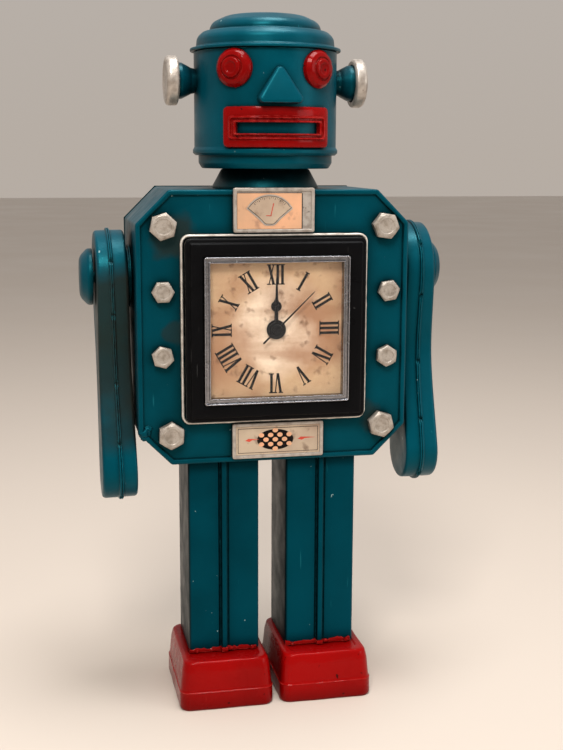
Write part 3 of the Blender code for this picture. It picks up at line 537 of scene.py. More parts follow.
METALS = (
    ("nickel", "nickel", "nickel", ((0.4, 0.35, 0.3), (0.24, 0.2, 0.16), 0.42, 0.35), {"rough_skin": 0.5}),
    ("silver", "silver_paint", "silver_paint", ((0.47, 0.42, 0.37), (0.32, 0.27, 0.23), 0.36, 0.45), {}),
    # A lighter copy of the silver paint: painted light on the raised border.
    ("border", "silver_paint", "border_silver", ((0.8, 0.74, 0.66), (0.5, 0.44, 0.38), 0.4, 0.3), {}),
    ("chrome", "chrome", "chrome", ((0.4, 0.4, 0.43), (0.3, 0.3, 0.31), 0.16, 1.0), {}),
    ("brass", "brass", "brass", ((0.62, 0.43, 0.16), (0.45, 0.28, 0.09), 0.3, 1.0, (1.0, 0.1, 1.0)), {}),
    ("steel", "steel", "steel", ((0.55, 0.55, 0.55), (0.4, 0.4, 0.4), 0.3, 1.0), {}),
    ("blued", "blued_steel", "blued_steel", ((0.07, 0.1, 0.22), (0.05, 0.05, 0.12), 0.3, 1.0), {}),
)
DIAL_TONES = (0.86, 0.69, 0.52), (0.57, 0.38, 0.22), (0.35, 0.17, 0.085), (0.17, 0.085, 0.045)
PAPERS = (
    ("copper", "dial_paper", "copper_print", ((0.76, 0.4, 0.23), (0.56, 0.33, 0.2), (0.36, 0.2, 0.13)), {}),
    ("cream", "dial_paper", "cream_print", ((0.52, 0.41, 0.3), (0.36, 0.26, 0.19), (0.16, 0.1, 0.07)), {}),
    ("ink", "black_plastic", "ink",
     ((0.004, 0.003, 0.003), (0.007, 0.005, 0.004), (0.02, 0.014, 0.01)), {}),
    ("red_ink", "red_enamel", "red_ink", ((0.6, 0.08, 0.05), (0.4, 0.04, 0.03), (0.7, 0.25, 0.18)), {}),
)


def make_finishes():
    """Each finish is the record's material slot and the material for it."""
    dial_at = Vector((0.0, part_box("dial")[0].y, middle("dial").z * MM))
    made = {
        "dial": ("dial_paper", dial_print("dial_paper", dial_at, *DIAL_TONES)),
        "glass": ("clear_glass", clear_glass("clear_glass")),
    }
    for kind, rows in ((paint, PAINTS), (worn_metal, METALS), (aged_paper, PAPERS)):
        for finish, slot, name, values, settings in rows:
            made[finish] = slot, kind(name, *values, **settings)
    return made


# ---------------- Torso

RIM_WIDTH = 3.0
TORSO_CHAMFER = 17.8
FOLD_RADIUS = 2.4

# Solder at the lower left corner of the rim: how far in from the side, above the corner, and its radii
RIM_BLOBS = ((3.2, 0.2, (3.5, 3.0, 2.4)), (5.4, 2.6, (2.2, 1.8, 1.4)), (3.0, -2.4, (2.0, 1.6, 1.6)))


def octagon(inset, half, low, high):
    """The torso's outline, drawn in by inset, with its corners rounded."""
    half, low, high = half - inset, low + inset, high - inset
    cut = TORSO_CHAMFER - inset * (2 - math.sqrt(2))
    radius = max(0.5, FOLD_RADIUS - inset)
    right = [(half - cut, low), (half, low + cut), (half, high - cut), (half - cut, high)]
    corners = right + [(-x, z) for x, z in reversed(right)]
    return rounded([(x, z, radius) for x, z in corners])


def make_torso():
    half = half_size("torso_shell").x
    low, high = bottom_of("torso_shell"), top_of("torso_shell")
    face, rear = forward("torso_shell"), forward("torso_shell", "back")
    place = front_frame(0, 0)
    profile = rounded([
        (0.0, rear), (0.0, face, 1.1), (RIM_WIDTH, face, 1.1), (RIM_WIDTH, face - TIN), (TIN, face - TIN),
        (TIN, rear),
    ])
    loops = [at(octagon(inset, half, low, high), height) for inset, height in profile]
    piece("torso_drum", skin(loops, ring=True), place, "teal", "torso", "torso_shell")
    repaint("teal", "front_panel")
    repaint("dark", "back_cover")
    for number, (x, z, radii) in enumerate(RIM_BLOBS, 1):
        spot = -half + x, low + TORSO_CHAMFER + z, face - 1.8
        piece(f"rim_blob_{number}", lump(spot, radii), place, "teal", "torso")


def make_bolt(name, node, turn):
    """A hex bolt head whose top corners are cut back by a cone, with a slightly hollow centre."""
    centre = middle(node)
    flats = half_size(node).z
    base, top = forward("front_panel") + GAP, forward(node)
    rim = flats * 0.93
    angles = around(72)
    reach = [flats / math.cos((angle + math.pi / 6) % (math.pi / 3) - math.pi / 6) for angle in angles]
    outline = [polar(radius, angle) for radius, angle in zip(reach, angles)]
    shoulder = [
        (*polar(radius, angle), top - 0.3 - (radius - rim) * 0.8) for radius, angle in zip(reach, angles)
    ]
    loops = [at(offset(outline, -0.4), base - 1.0), at(offset(outline, -0.15), base)]
    loops += [at(outline, base + 0.4), shoulder]
    crown = (
        (rim, top - 0.15), (rim - 0.5, top), (rim * 0.72, top), (rim * 0.66, top - 0.3),
        (rim * 0.3, top - 0.35),
    )
    loops += [at([polar(radius, angle) for angle in angles], height) for radius, height in crown]
    place = front_frame(centre.x, centre.z) @ Matrix.Rotation(turn, 4, "Z")
    piece(name, skin(loops), place, "nickel", "torso", node)


def make_bolts():
    for side, sign in SIDES.items():
        for number in range(1, 5):
            turn = math.radians(17 * number * sign + 5)
            make_bolt(f"hex_head_{side}_{number}", f"bolt_{side}_{number}", turn)


# ---------------- Clock


def square_ring(profile, corner, unevenness=0.0):
    """A square frame through (half size, height) points, with rounded corners."""
    widest = max(half for half, _ in profile)
    loops = []
    for half, height in profile:
        loops.append(at(sided_rectangle(half, half, max(0.3, corner - widest + half), 24), height))
    return dented(skin(loops, ring=True), unevenness, 4.0)


BORDER_CORNER, CASE_CORNER, BEZEL_CORNER = 5.0, 3.2, 1.2


def make_clock_case(place):
    """Three square frames, one inside the other: the silver border, the black case and the bezel."""
    outer, front = half_size("clock_border").x, forward("clock_border")
    base = forward("clock_border", "back")
    inner = half_size("clock_case").x + 0.25
    border = rounded([(inner, base), (outer, base), (outer, front - 0.1, 0.9), (inner, front - 0.2, 0.8)])
    piece("border_strip", square_ring(border, BORDER_CORNER, 0.5), place, "border", "torso", "clock_border")

    outer, front = half_size("clock_case").x, forward("clock_case")
    inner = half_size("clock_bezel").x + 0.3
    case = rounded([
        (outer, base), (outer, front - 1.6, 1.0), (outer - 2.2, front - 1.4, 0.5), (outer - 2.8, front, 0.8),
        (inner, front, 0.5), (inner, forward("dial")), (outer - 3, base),
    ])
    piece("case_frame", square_ring(case, CASE_CORNER), place, "black", "torso", "clock_case")

    outer, front, low = half_size("clock_bezel").x, forward("clock_bezel"), forward("clock_bezel", "back")
    inner = half_size("clock_glass").x + 0.4
    bezel = rounded([
        (inner, low), (outer, low), (outer, front, 0.3), (outer - 0.6, front, 0.3),
        (outer - 1.0, front - 1.2, 0.2), (inner + 0.9, front - 1.2, 0.2), (inner + 0.6, front - 0.7, 0.2),
        (inner, front - 0.7, 0.2),
    ])
    piece("bezel_frame", square_ring(bezel, BEZEL_CORNER), place, "chrome", "torso", "clock_bezel")


NUMERAL_LOW, NUMERAL_HIGH = 24.2, 35.2  # distances from the hands' axis
THICK, THIN, SERIF = 1.45, 0.6, 0.62  # widths of strokes
LETTER_WIDTH = {"I": 2.6, "V": 4.8, "X": 4.4}
NUMERALS = ("I", "II", "III", "IV", "V", "VI", "VII", "VIII", "IX", "X", "XI", "XII")


def stroke(start, end, width):
    """A straight bar of ink, measured across horizontally so that its ends stay level."""
    (x0, y0), (x1, y1) = start, end
    if y0 == y1:
        return [(x0, y0 - width / 2), (x1, y1 - width / 2), (x1, y1 + width / 2), (x0, y0 + width / 2)]
    half = width / 2
    return [(x0 - half, y0), (x0 + half, y0), (x1 + half, y1), (x1 - half, y1)]


def letter(kind, x):
    """The strokes of one Roman numeral letter, centred on x."""
    low, high = NUMERAL_LOW, NUMERAL_HIGH
    top, bottom = high - SERIF / 2, low + SERIF / 2

    def serif(centre, height, half):
        return stroke((centre - half, height), (centre + half, height), SERIF)

    if kind == "I":
        return [stroke((x, low), (x, high), THICK), serif(x, top, 1.35), serif(x, bottom, 1.35)]
    reach = LETTER_WIDTH[kind] / 2 - 0.9
    if kind == "V":
        return [
            stroke((x + 0.2, low), (x - reach, high), THICK), stroke((x + 0.5, low), (x + reach, high), THIN),
            serif(x - reach, top, 1.25), serif(x + reach, top, 0.95),
        ]
    strokes = [
        stroke((x + reach, low), (x - reach, high), THICK), stroke((x - reach, low), (x + reach, high), THIN),
    ]
    return strokes + [serif(x + side * reach, height, 1.1) for side in (-1, 1) for height in (top, bottom)]


def numeral_shapes():
    shapes = []
    for hour, numeral in enumerate(NUMERALS, 1):
        turn = Matrix.Rotation(-math.tau * hour / 12, 2)
        x = -sum(LETTER_WIDTH[kind] for kind in numeral) / 2
        for kind in numeral:
            for shape in letter(kind, x + LETTER_WIDTH[kind] / 2):
                shapes.append([tuple(turn @ Vector(point)) for point in shape])
            x += LETTER_WIDTH[kind]
    return shapes


DIAL_HOLE = 3.6


def make_dial(place):
    """The printed sheet over the CAD dial, with a hole for the hands, and its numerals."""
    face, half = forward("dial"), half_size("dial").x - 0.2
    edge = [polar(half / max(abs(math.cos(angle)), abs(math.sin(angle))), angle) for angle in around(64)]
    hole = circle(DIAL_HOLE, 64)
    sheet = skin([at(edge, face), at(edge, face + 0.05), at(hole, face + 0.05), at(hole, face)], ring=True)
    piece("dial_sheet", sheet, place, "dial", "torso")
    repaint("dial", "dial")
    ink = prisms(numeral_shapes(), face - 0.02, face + 0.1)
    piece("numerals", ink, place, "ink", "torso")
    repaint("glass", "clock_glass")


SECONDS_ANGLE = math.radians(-45.5)


def make_hands(place):
    """Smooth hands in the places of the faceted ones."""
    hour_top = top_of("hour_hand") - middle("dial").z
    hour = arc(5.3, -math.pi / 2, math.radians(79), 24)
    hour += arc(2.9, -math.radians(72), math.radians(60), 12, (0.0, 12.6)) + [(0.55, 17.0), (0.0, hour_top)]
    minute_top = top_of("minute_hand") - middle("dial").z
    minute = arc(4.2, -math.pi / 2, math.radians(80), 20) + [(0.8, 14.0), (0.45, 27.0), (0.0, minute_top)]
    length, tail = 29.4, 10.6
    second = [(0.0, -tail), (0.5, -tail + 0.4), (0.4, -3.5)]
    second += arc(3.0, -math.radians(80), math.radians(80), 16) + [(0.2, length - 1), (0.0, length)]
    hands = (
        ("hour", hour, "hour_pipe", 0.0), ("minute", minute, "minute_arbor", 0.0),
        ("second", second, "seconds_arbor", SECONDS_ANGLE),
    )
    for name, right_side, body, turn in hands:
        outline = right_side + [(-x, y) for x, y in reversed(right_side) if x > 0]
        low, high = forward(f"{name}_hand", "back"), forward(f"{name}_hand")
        hand_place = place @ Matrix.Rotation(turn, 4, "Z")
        hand = prisms([outline], low, high)
        piece(f"{name}_pointer", hand, hand_place, "black", body, f"{name}_hand")
    cap = turned([(0.1, 0.75), (2.9, 0.75, 0.4), (3.0, 0.0)], 32)
    cap_place = place @ Matrix.Translation((0, 0, forward("second_hand")))
    piece("hand_cap", cap, cap_place, "black", "seconds_arbor")


# ---------------- Labels


def make_label(name, node):
    """A pressed plate with a raised rim. Gives its centre, half size and the height of its field."""
    centre, half = middle(node), half_size(node)
    back, front = forward(node, "back"), forward(node)

    def outline(inset):
        return rectangle(half.x - inset, half.z - inset, max(0.3, 1.2 - inset), (centre.x, centre.z), 4)

    profile = rounded([(0.0, back), (0.0, front, 0.5), (1.7, front, 0.5), (2.0, front - 0.6)], closed=False)
    loops = [at(outline(inset), height) for inset, height in profile]
    piece(name, skin(loops), front_frame(0, 0), "silver", "torso", node)
    return centre, half, front - 0.6


def printed(rows, face):
    """Layers of print over a label: (name, shapes, thickness, finish)."""
    for name, shapes, thickness, finish in rows:
        piece(name, prisms(shapes, face, face + thickness), front_frame(0, 0), finish, "torso")


def make_top_label():
    """A copper field with an almond-shaped gauge, and a bare margin at its right."""
    centre, half, face = make_label("top_plate", "top_label")
    left, right = centre.x - half.x + 2.1, centre.x + half.x - 7.1
    low, high = centre.z - half.z + 2.1, centre.z + half.z - 2.9
    field = [(left, low), (right, low), (right, high), (left, high)]
    edge = [
        [(left - 0.25, low), (left, low), (left, high), (left - 0.25, high)],
        [(right, low), (right + 0.5, low), (right + 0.5, high), (right, high)],
        [(left, high), (right, high), (right, high + 0.3), (left, high + 0.3)],
        [(left, low - 0.3), (right, low - 0.3), (right, low), (left, low)],
    ]
    middle_x, tip_z = (left + right) / 2, low + (high - low) * 0.57
    reach, rise = (right - left) * 0.36, high - tip_z - 0.6
    almond = almond_outline(middle_x, tip_z, reach, rise)
    bow = (reach**2 + rise**2) / (2 * rise)  # radius of the upper curve
    hub = (middle_x, tip_z + rise - bow)
    ticks = []
    for i in range(-9, 10):
        angle = math.pi / 2 - i * math.radians(4.6)
        inner = bow - (2.6 if i % 3 == 0 else 2.0)
        ticks.append(bar(polar(inner, angle, hub), polar(bow - 1.3, angle, hub), 0.22))
    root = (middle_x + 0.6, tip_z - 3.8)
    needle = [
        bar(root, (root[0] + 1.5, root[1] + 6.6), 0.45),
        bar((root[0] - 2.6, root[1] + 0.1), (root[0] + 0.4, root[1]), 0.4),
    ]
    printed((
        ("top_field", [field], 0.15, "copper"), ("top_field_shadow", edge, 0.12, "ink"),
        ("gauge_rim", [almond], 0.35, "silver"), ("gauge_line", [offset(almond, -0.75)], 0.4, "ink"),
        ("gauge_face", [offset(almond, -1.0)], 0.45, "cream"), ("gauge_ticks", ticks, 0.5, "ink"),
        ("gauge_needle", needle, 0.55, "red_ink"),
    ), face)


def bar(start, end, width):
    """A straight bar of even width between two points."""
    along = (Vector(end) - Vector(start)).normalized() * width / 2
    across = Vector((-along.y, along.x))
    ends = ((start, 1), (start, -1), (end, -1), (end, 1))
    return [tuple(Vector(point) + across * side) for point, side in ends]


def almond_outline(x, z, reach, rise):
    """A gauge window: one long curve above, and straight sides that meet in a rounded chin below."""
    bow = (reach**2 + rise**2) / (2 * rise)
    half_angle = math.asin(reach / bow)
    upper = arc(bow, math.pi / 2 - half_angle, math.pi / 2 + half_angle, 20, (x, z + rise - bow))
    chin = ((-reach / 2, -5.2), (-2.6, -9.0), (2.6, -9.0), (reach / 2, -5.2))
    return upper + rounded([(x + across, z + up, 2.0) for across, up in chin], closed=False)


CHECK_SPACING = 2.6


def make_bottom_label():
    """A printed field in a thin dark line, with a chequered oval between two darts."""
    centre, half, face = make_label("bottom_plate", "bottom_label")

    def field(inset):
        return rectangle(half.x - inset, half.z - inset, 0.3, (centre.x, centre.z), 2)

    oval_x, oval_z = 10.2, 5.8
    x, z = centre.x - 1.6, centre.z + 0.3
    checks = []
    for column in range(-4, 5):
        for row in range(-2, 3):
            across, up = column * CHECK_SPACING, row * CHECK_SPACING
            if (column + row) % 2 == 0 and (across / oval_x) ** 2 + (up / oval_z) ** 2 < 0.92:
                checks.append(ellipse(x + across, z + up, 1.55, 1.25, 12))
    shape = ((-2.4, -0.2), (0, -0.9), (1.6, 0), (None, 0.3), (1.4, 0.8), (-0.6, 0.9))
    darts = [
        [(x + along + (tail if dx is None else dx), z + dz) for dx, dz in shape]
        for along, tail in ((-14.5, 5.4), (15.0, 8.0))
    ]
    printed((
        ("bottom_margin", [field(2.0)], 0.1, "cream"), ("bottom_line", [field(3.0)], 0.14, "ink"),
        ("bottom_field", [field(3.3)], 0.18, "cream"),
        ("chequer_ground", [ellipse(x, z, oval_x, oval_z, 48)], 0.22, "ink"),
        ("chequer_spots", checks, 0.26, "copper"), ("darts", darts, 0.24, "red_ink"),
    ), face)


# ---------------- Head


HEAD_BEAD = 0.9  # how far the bead stands proud


def head_place(height=0.0):
    centre = middle("head_shell")
    return Matrix.Translation((centre.x, centre.y, height))


def head_radius():
    """Radius of the head's sheet metal, inside the bead at the foot of its shell."""
    return half_size("head_shell").x - HEAD_BEAD


def make_head():
    radius = head_radius()
    low, high = bottom_of("head_shell"), top_of("head_shell")
    place = head_place()
    shell = turned([
        (radius - TIN, high), (radius, high), (radius, low + 4.4, 1.2), (radius + HEAD_BEAD, low + 2.9, 0.5),
        (radius + HEAD_BEAD, low + 1.3, 0.6), (radius - 0.6, low, 0.4), (radius - TIN, low),
    ], 128, ring=True)
    piece("head_drum", shell, place, "head", "head", "head_shell")

    low, high, wide = bottom_of("head_base"), top_of("head_base"), half_size("head_base").x
    base = turned([
        (9.4, low), (wide - 1.8, low, 1.2), (wide, low + 3.0, 2.0), (wide, high), (wide - TIN, high),
        (wide - TIN, low + 3.8), (wide - 3.0, low + TIN), (9.4, low + TIN),
    ], 128, ring=True)
    piece("head_cup", base, place, "head", "head", "head_base")

    top, brim = top_of("head_lid"), half_size("head_lid").x
    lid = turned([
        (0.2, top), (20.5, top, 16.0), (30.4, top - 4.6, 6.0), (30.4, top - 8.6, 0.7), (33.8, top - 8.7, 3.6),
        (37.3, top - 11.8, 5.0), (37.9, top - 17.0, 1.0), (brim, top - 17.7, 0.6), (brim, top - 19.2, 0.6),
        (brim - 3.2, top - 19.5), (37.4, top - 23.0), (36.2, top - 23.0), (36.2, top - 15.0),
        (29.0, top - 9.8), (28.0, top - 7.5), (0.2, top - 4.0),
    ], 128, arc_steps=8)
    piece("head_cap", lid, place, "head", "head", "head_lid")


EYE_ANGLE = {"left": math.radians(-35.5), "right": math.radians(34.0)}


def make_eyes():
    radius = head_radius()
    for side, angle in EYE_ANGLE.items():
        centre = middle(f"eye_{side}")
        rim = half_size(f"eye_{side}").z
        place = head_place(centre.z) @ Matrix.Rotation(angle, 4, "Z") @ UPRIGHT
        lens = turned([
            (0.1, radius - 2.0), (rim, radius - 2.0), (rim, radius + 1.0, 0.8),
            (rim - 1.7, radius + 3.1, 1.8), (6.2, radius + 3.8, 0.5), (5.6, radius + 2.9, 0.3),
            (5.1, radius + 4.9, 0.7),
            (3.2, radius + 5.15, 0.8), (2.4, radius + 4.5, 0.8), (0.1, radius + 4.4),
        ], arc_steps=6)
        piece(f"eye_lens_{side}", dented(lens, 0.35, 3.5), place, "red", "head", f"eye_{side}")


def make_nose():
    """A wedge with a rounded triangular outline, whose front face leans out towards its base."""
    radius = head_radius()
    low, high = bottom_of("nose") + 0.1, top_of("nose") + 0.4
    half = half_size("nose").x + 0.2
    proud = middle("head_shell").y - front_of("nose") - radius - 1.6

    def outline(grow):
        corners = [(half, low, 2.2), (0.0, high, 2.6), (-half, low, 2.2)]
        return offset(divided(rounded(corners, steps=10), 1.5), grow)

    def front(z):
        return radius + 1.6 + proud * (high - z) / (high - low)

    loops = [[(x, -(radius - 4.0), z) for x, z in outline(0.3)]]
    for grow, back in ((0.2, 2.4), (0.05, 1.2), (-0.35, 0.4), (-0.9, 0.1), (-1.6, 0.0)):
        loops.append([(x, -(front(z) - back), z) for x, z in outline(grow)])
    piece("nose_wedge", skin(loops), head_place(), "head", "head", "nose")


MOUTH_HALF_ANGLE, SLOT_HALF_ANGLE = math.radians(44), math.radians(33)
SLOT_DROP = 0.55  # the slot's middle is this much lower than the plate's


def make_mouth():
    """A curved plate with a double-edged frame round a slot, wrapped round the head."""
    radius = head_radius()
    low, high = bottom_of("mouth"), top_of("mouth")
    half_x, half_y = radius * MOUTH_HALF_ANGLE, (high - low) / 2
    centre = (low + high) / 2
    slot_x, slot_y, slot_z = radius * SLOT_HALF_ANGLE, 2.85, centre - SLOT_DROP

    def wrapped(across, up, corner, height, distance):
        corners = rectangle(across, up, corner, steps=4)
        points = []
        for i, (x, y) in enumerate(corners):
            following = corners[(i + 1) % len(corners)]
            count = 16 if abs(following[0] - x) > across else 1
            points += [(x + (following[0] - x) * k / count, y) for k in range(count)]
        return [(*polar(distance, x / radius - math.pi / 2), height + y) for x, y in points]

    sections = [
        (half_x, half_y, 2.6, centre, 0.2), (half_x, half_y, 2.6, centre, 1.2),
        (half_x - 0.2, half_y - 0.2, 2.4, centre, 1.7), (half_x - 0.7, half_y - 0.7, 2.0, centre, 2.0),
        (slot_x + 4.4, slot_y + 3.4, 1.8, slot_z, 1.9), (slot_x + 4.1, slot_y + 3.1, 1.7, slot_z, 2.5),
        (slot_x + 3.5, slot_y + 2.6, 1.6, slot_z, 2.95), (slot_x + 2.9, slot_y + 2.1, 1.4, slot_z, 2.7),
        (slot_x + 2.6, slot_y + 1.8, 1.2, slot_z, 1.9), (slot_x + 1.5, slot_y + 1.2, 0.9, slot_z, 1.9),
        (slot_x + 1.1, slot_y + 0.9, 0.7, slot_z, 2.7), (slot_x + 0.5, slot_y + 0.4, 0.5, slot_z, 3.0),
        (slot_x, slot_y, 0.4, slot_z, 2.6), (slot_x, slot_y, 0.4, slot_z, 0.2),
    ]
    loops = [wrapped(*section, radius + proud) for *section, proud in sections]
    piece("mouth_plate", skin(loops, ring=True), head_place(), "red", "head", "mouth")


def make_ears():
    axis = middle("head_shell").x
    for side, sign in SIDES.items():
        height = middle(f"ear_disc_{side}").z
        place = head_place(height) @ Matrix.Rotation(sign * math.pi / 2, 4, "Y")
        stem = turned([
            (6.2, head_radius() - 1.0), (7.0, 41.4, 0.8), (7.9, 43.0, 1.5), (9.6, 46.4, 2.0), (9.8, 48.8),
        ], 72)
        piece(f"ear_stem_{side}", stem, place, "teal", "head", f"ear_cup_{side}")
        wide = half_size(f"ear_disc_{side}").z
        low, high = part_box(f"ear_disc_{side}")
        inner, reach = sorted((abs(high.x / MM - axis), abs(low.x / MM - axis)))
        disc = turned([
            (0.1, reach - 0.7), (wide - 4.6, reach - 0.5, 2.0), (wide - 2.9, reach, 1.0),
            (wide, reach - 0.6, 2.4), (wide, inner + 0.8, 1.3), (wide - 1.4, inner, 0.7), (10.2, inner + 0.2),
            (11.2, inner + 1.6), (11.2, reach - 2.6), (0.1, reach - 2.2),
        ], arc_steps=6)
        piece(f"ear_disc_{side}_skin", dented(disc, 0.25, 5.0), place, "silver", "head", f"ear_disc_{side}")


def make_neck():
    low, high = bottom_of("neck"), bottom_of("head_base") - GAP
    wide = half_size("neck").x
    cone = turned([
        (wide, low), (wide, low + 0.8, 0.6), (wide - 5.1, high, 1.5), (9.0, high), (9.0, high + 2.1),
        (12.0, high + 2.1), (12.0, high + 3.1), (7.8, high + 3.1), (7.8, high - TIN),
        (wide - 6.3, high - TIN), (wide - 1.4, low),
    ], ring=True)
    # The near-black paint here is painted shade under the head.
    piece("neck_cone", cone, head_place(), "dark", "torso", "neck")


# ---------------- Arms

SHOULDER_RADIUS, HAND_RADIUS, WAIST_HALF, WAIST_AT = 25.5, 17.5, 13.1, 57.0
HAND_FORWARD, HAND_DOWN = 15.7, 104.0
ARM_OUTER, ARM_INNER, ARM_SWELL = 7.9, 8.9, 2.2


def arm_outline():
    """The side view of an arm about its shoulder pivot, with the hand forward and down."""
    length = math.hypot(HAND_FORWARD, HAND_DOWN)
    leave, arrive = math.radians(80), math.radians(85)
    shoulder_end = polar(SHOULDER_RADIUS, leave)
    hand_start = polar(HAND_RADIUS, math.pi - arrive, (length, 0.0))
    waist = (WAIST_AT, WAIST_HALF)
    side = lobe_curve(shoulder_end, -1 / math.tan(leave), waist, 0.0, 12) + [waist]
    side += lobe_curve(waist, 0.0, hand_start, 1 / math.tan(arrive), 12)
    outline = arc(SHOULDER_RADIUS, leave, math.tau - leave, 40) + [(u, -v) for u, v in side]
    outline += arc(HAND_RADIUS, arrive - math.pi, math.pi - arrive, 30, (length, 0.0)) + list(reversed(side))
    lean = Matrix.Rotation(math.atan2(-HAND_DOWN, HAND_FORWARD), 2)
    return [tuple(lean @ Vector(point)) for point in outline]


def lobe_curve(start, start_slope, end, end_slope, steps):
    """Points strictly between two (distance, half width) ends of a smooth cubic with the given slopes."""
    span = end[0] - start[0]
    points = []
    for i in range(1, steps):
        t = i / steps
        width = start[1] + (end[1] - start[1]) * (3 * t**2 - 2 * t**3)
        width += span * (start_slope * (t**3 - 2 * t**2 + t) + end_slope * (t**3 - t**2))
        points.append((start[0] + span * t, width))
    return points


def arm_place(side):
    """The arm's frame: forward or back, up, and outward along the shoulder pivot."""
    joint = joint_named(f"{side}_arm_swing")
    outward = Vector(joint["axis"]) * -SIDES[side]
    along = Vector((0, SIDES[side], 0))
    turn = Matrix((along, outward.cross(along), outward)).transposed().to_4x4()
    return Matrix.Translation(Vector(joint["pos_m"]) / MM) @ turn


def arm_half(outline, height, swell):
    """A pressed tray, rolled round its floor, with a nicked flange along its seam.

    Its floor rises by swell from the shoulder to the hand."""
    side, depth = math.copysign(1, height), abs(height)
    profile = rounded([
        (-TIN, depth - TIN), (-TIN, GAP / 2), (1.4, GAP / 2, 0.2), (1.4, GAP / 2 + 0.9, 0.7),
        (0.1, GAP / 2 + 0.9, 0.5), (0.0, depth, 1.7), (-6.0, depth),
    ], closed=False)
    loops = []
    for grow, above in profile:
        share = min(1.0, above / depth)
        loop = []
        for i, (x, y) in enumerate(offset(outline, grow)):
            if grow > 1.0 and i % 17 == 5:
                x, y = outline[i]
            loop.append((x, y, side * (above - share * swell * y / HAND_DOWN)))
        loops.append(loop)
    return skin(loops)


def make_arms():
    for side, sign in SIDES.items():
        place = arm_place(side)
        outline = divided(arm_outline(), 2.5)
        if sign > 0:
            outline = [(-x, y) for x, y in reversed(outline)]
        body, finish = f"{side}_arm", "left_arm" if side == "left" else "teal"
        outer = arm_half(outline, ARM_OUTER, ARM_SWELL)
        inner = arm_half(outline, -ARM_INNER, 0.0)
        piece(f"arm_shell_outer_{side}", outer, place, finish, body, f"arm_outer_{side}")
        piece(f"arm_shell_inner_{side}", inner, place, finish, body, f"arm_inner_{side}")
        make_rivet(side, sign)


def make_rivet(side, sign):
    """The shoulder rivet's domed cap, and the washers between the arm and the torso."""
    node = f"shoulder_pin_{side}"
    centre = middle(node)
    low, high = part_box(node)
    reach = max(abs(low.x), abs(high.x)) / MM
    wall = half_size("torso_shell").x
    nut, spacer = wall - TIN - GAP, wall + 0.6
    dome, start = 15.6, abs(joint_named(f"{side}_arm_swing")["pos_m"][0]) / MM + ARM_OUTER + TIN
    place = Matrix.Translation((0, centre.y, centre.z)) @ Matrix.Rotation(sign * math.pi / 2, 4, "Y")
    rivet = turned([
        (0.1, nut - 2.5), (6.0, nut - 2.5), (6.0, nut), (3.6, nut), (3.6, spacer), (17.5, spacer, 0.2),
        (17.5, spacer + 0.8, 0.3), (15.6, spacer + 0.9), (15.5, spacer + 1.6, 0.3), (3.6, spacer + 1.6),
        (3.6, start), (dome, start, 0.4), (dome, start + 2.6, 2.6), (dome - 4.4, reach - 0.3, 6.0),
        (0.1, reach),
    ], 72, arc_steps=6)
    piece(f"shoulder_rivet_{side}", rivet, place, "teal", "torso", node)


# ---------------- Legs and feet


RIB_PROUD, RIB_HALF = 2.0, 1.5
LAP_STEP = 0.8  # spacing of the points along the lap of red paint


def make_leg(side):
    """A folded tube with a raised rib down its front, where one half of its sheet laps over the other."""
    node = f"leg_{side}"
    centre, half = middle(node), half_size(node)
    low, high = bottom_of(node), top_of(node)
    front, rear = -half.y, half.y
    face, rib, wall = front + RIB_PROUD, RIB_HALF, half.x - TIN
    outline = rounded([
        (-half.x, rear, 1.2), (-half.x, face - 0.4, 2.2), (-rib - 1.6, face - 0.4, 0.5),
        (-rib - 1.0, face + 0.9, 0.3), (-rib - 0.1, face + 0.9, 0.3), (-rib, front + 0.1, 0.9),
        (rib, front + 0.1, 1.1), (rib + 0.2, face + 0.5, 0.3), (rib + 0.9, face + 0.5, 0.3),
        (rib + 1.5, face, 0.4), (half.x, face, 1.4), (half.x, rear, 1.2),
    ], steps=5)
    deep = face + TIN + 0.9
    inner = rounded([
        (-wall, rear - TIN, 0.5), (-wall, deep, 0.8), (-rib - 1.6, deep, 0.2), (-rib - 1.0, deep, 0.2),
        (-rib - 0.1, deep, 0.1), (-rib, deep, 0.1), (rib, deep, 0.1), (rib + 0.2, deep, 0.1),
        (rib + 0.9, deep, 0.2), (rib + 1.5, deep, 0.2), (wall, deep, 0.8), (wall, rear - TIN, 0.5),
    ], steps=5)
    loops = [at(outline, low), at(outline, high), at(inner, high), at(inner, low)]
    place = Matrix.Translation((centre.x, centre.y, 0))
    piece(f"leg_tube_{side}", skin(loops, ring=True), place, "leg", "torso", node)

    make_paint_lap(side, place, half.x, face, low)
    blobs = (
        (rib + 2.0, face - 1.0, low + 0.6), (half.x - 4.0, face - 1.0, low + 0.3),
        (-half.x + 4.0, face - 0.8, low),
    )
    for number, spot in enumerate(blobs, 1):
        blob = lump(spot, (1.9 - 0.3 * number, 1.1, 1.2))
        piece(f"solder_{side}_{number}", blob, place, "red", "torso")


def make_paint_lap(side, place, half, face, low):
    """Red paint that crept up the foot of the leg, in lumps where the tabs are soldered."""
    count, leg_x = round(2 * half / LAP_STEP), place.translation.x
    columns = []
    for i in range(count - 1):
        x = -half + 2 * half * i / count
        rise = 1.5 + 1.3 * noise.noise((x / 3.0, leg_x, 0.0)) + 0.6 * noise.noise((x, leg_x, 2.0))
        outside = face - 0.5 - (RIB_PROUD if abs(x) < RIB_HALF + 0.4 else 0.0)
        columns.append([
            (x, face + 1.0, low - 0.4), (x, outside - 0.4, low - 0.4), (x, outside - 0.3, low + rise * 0.7),
            (x, outside, low + rise), (x, face + 1.0, low + rise),
        ])
    piece(f"paint_lap_{side}", skin(columns), place, "red", "torso")


FOOT_SEAM, FOOT_CORNER = 11.0, 6.4


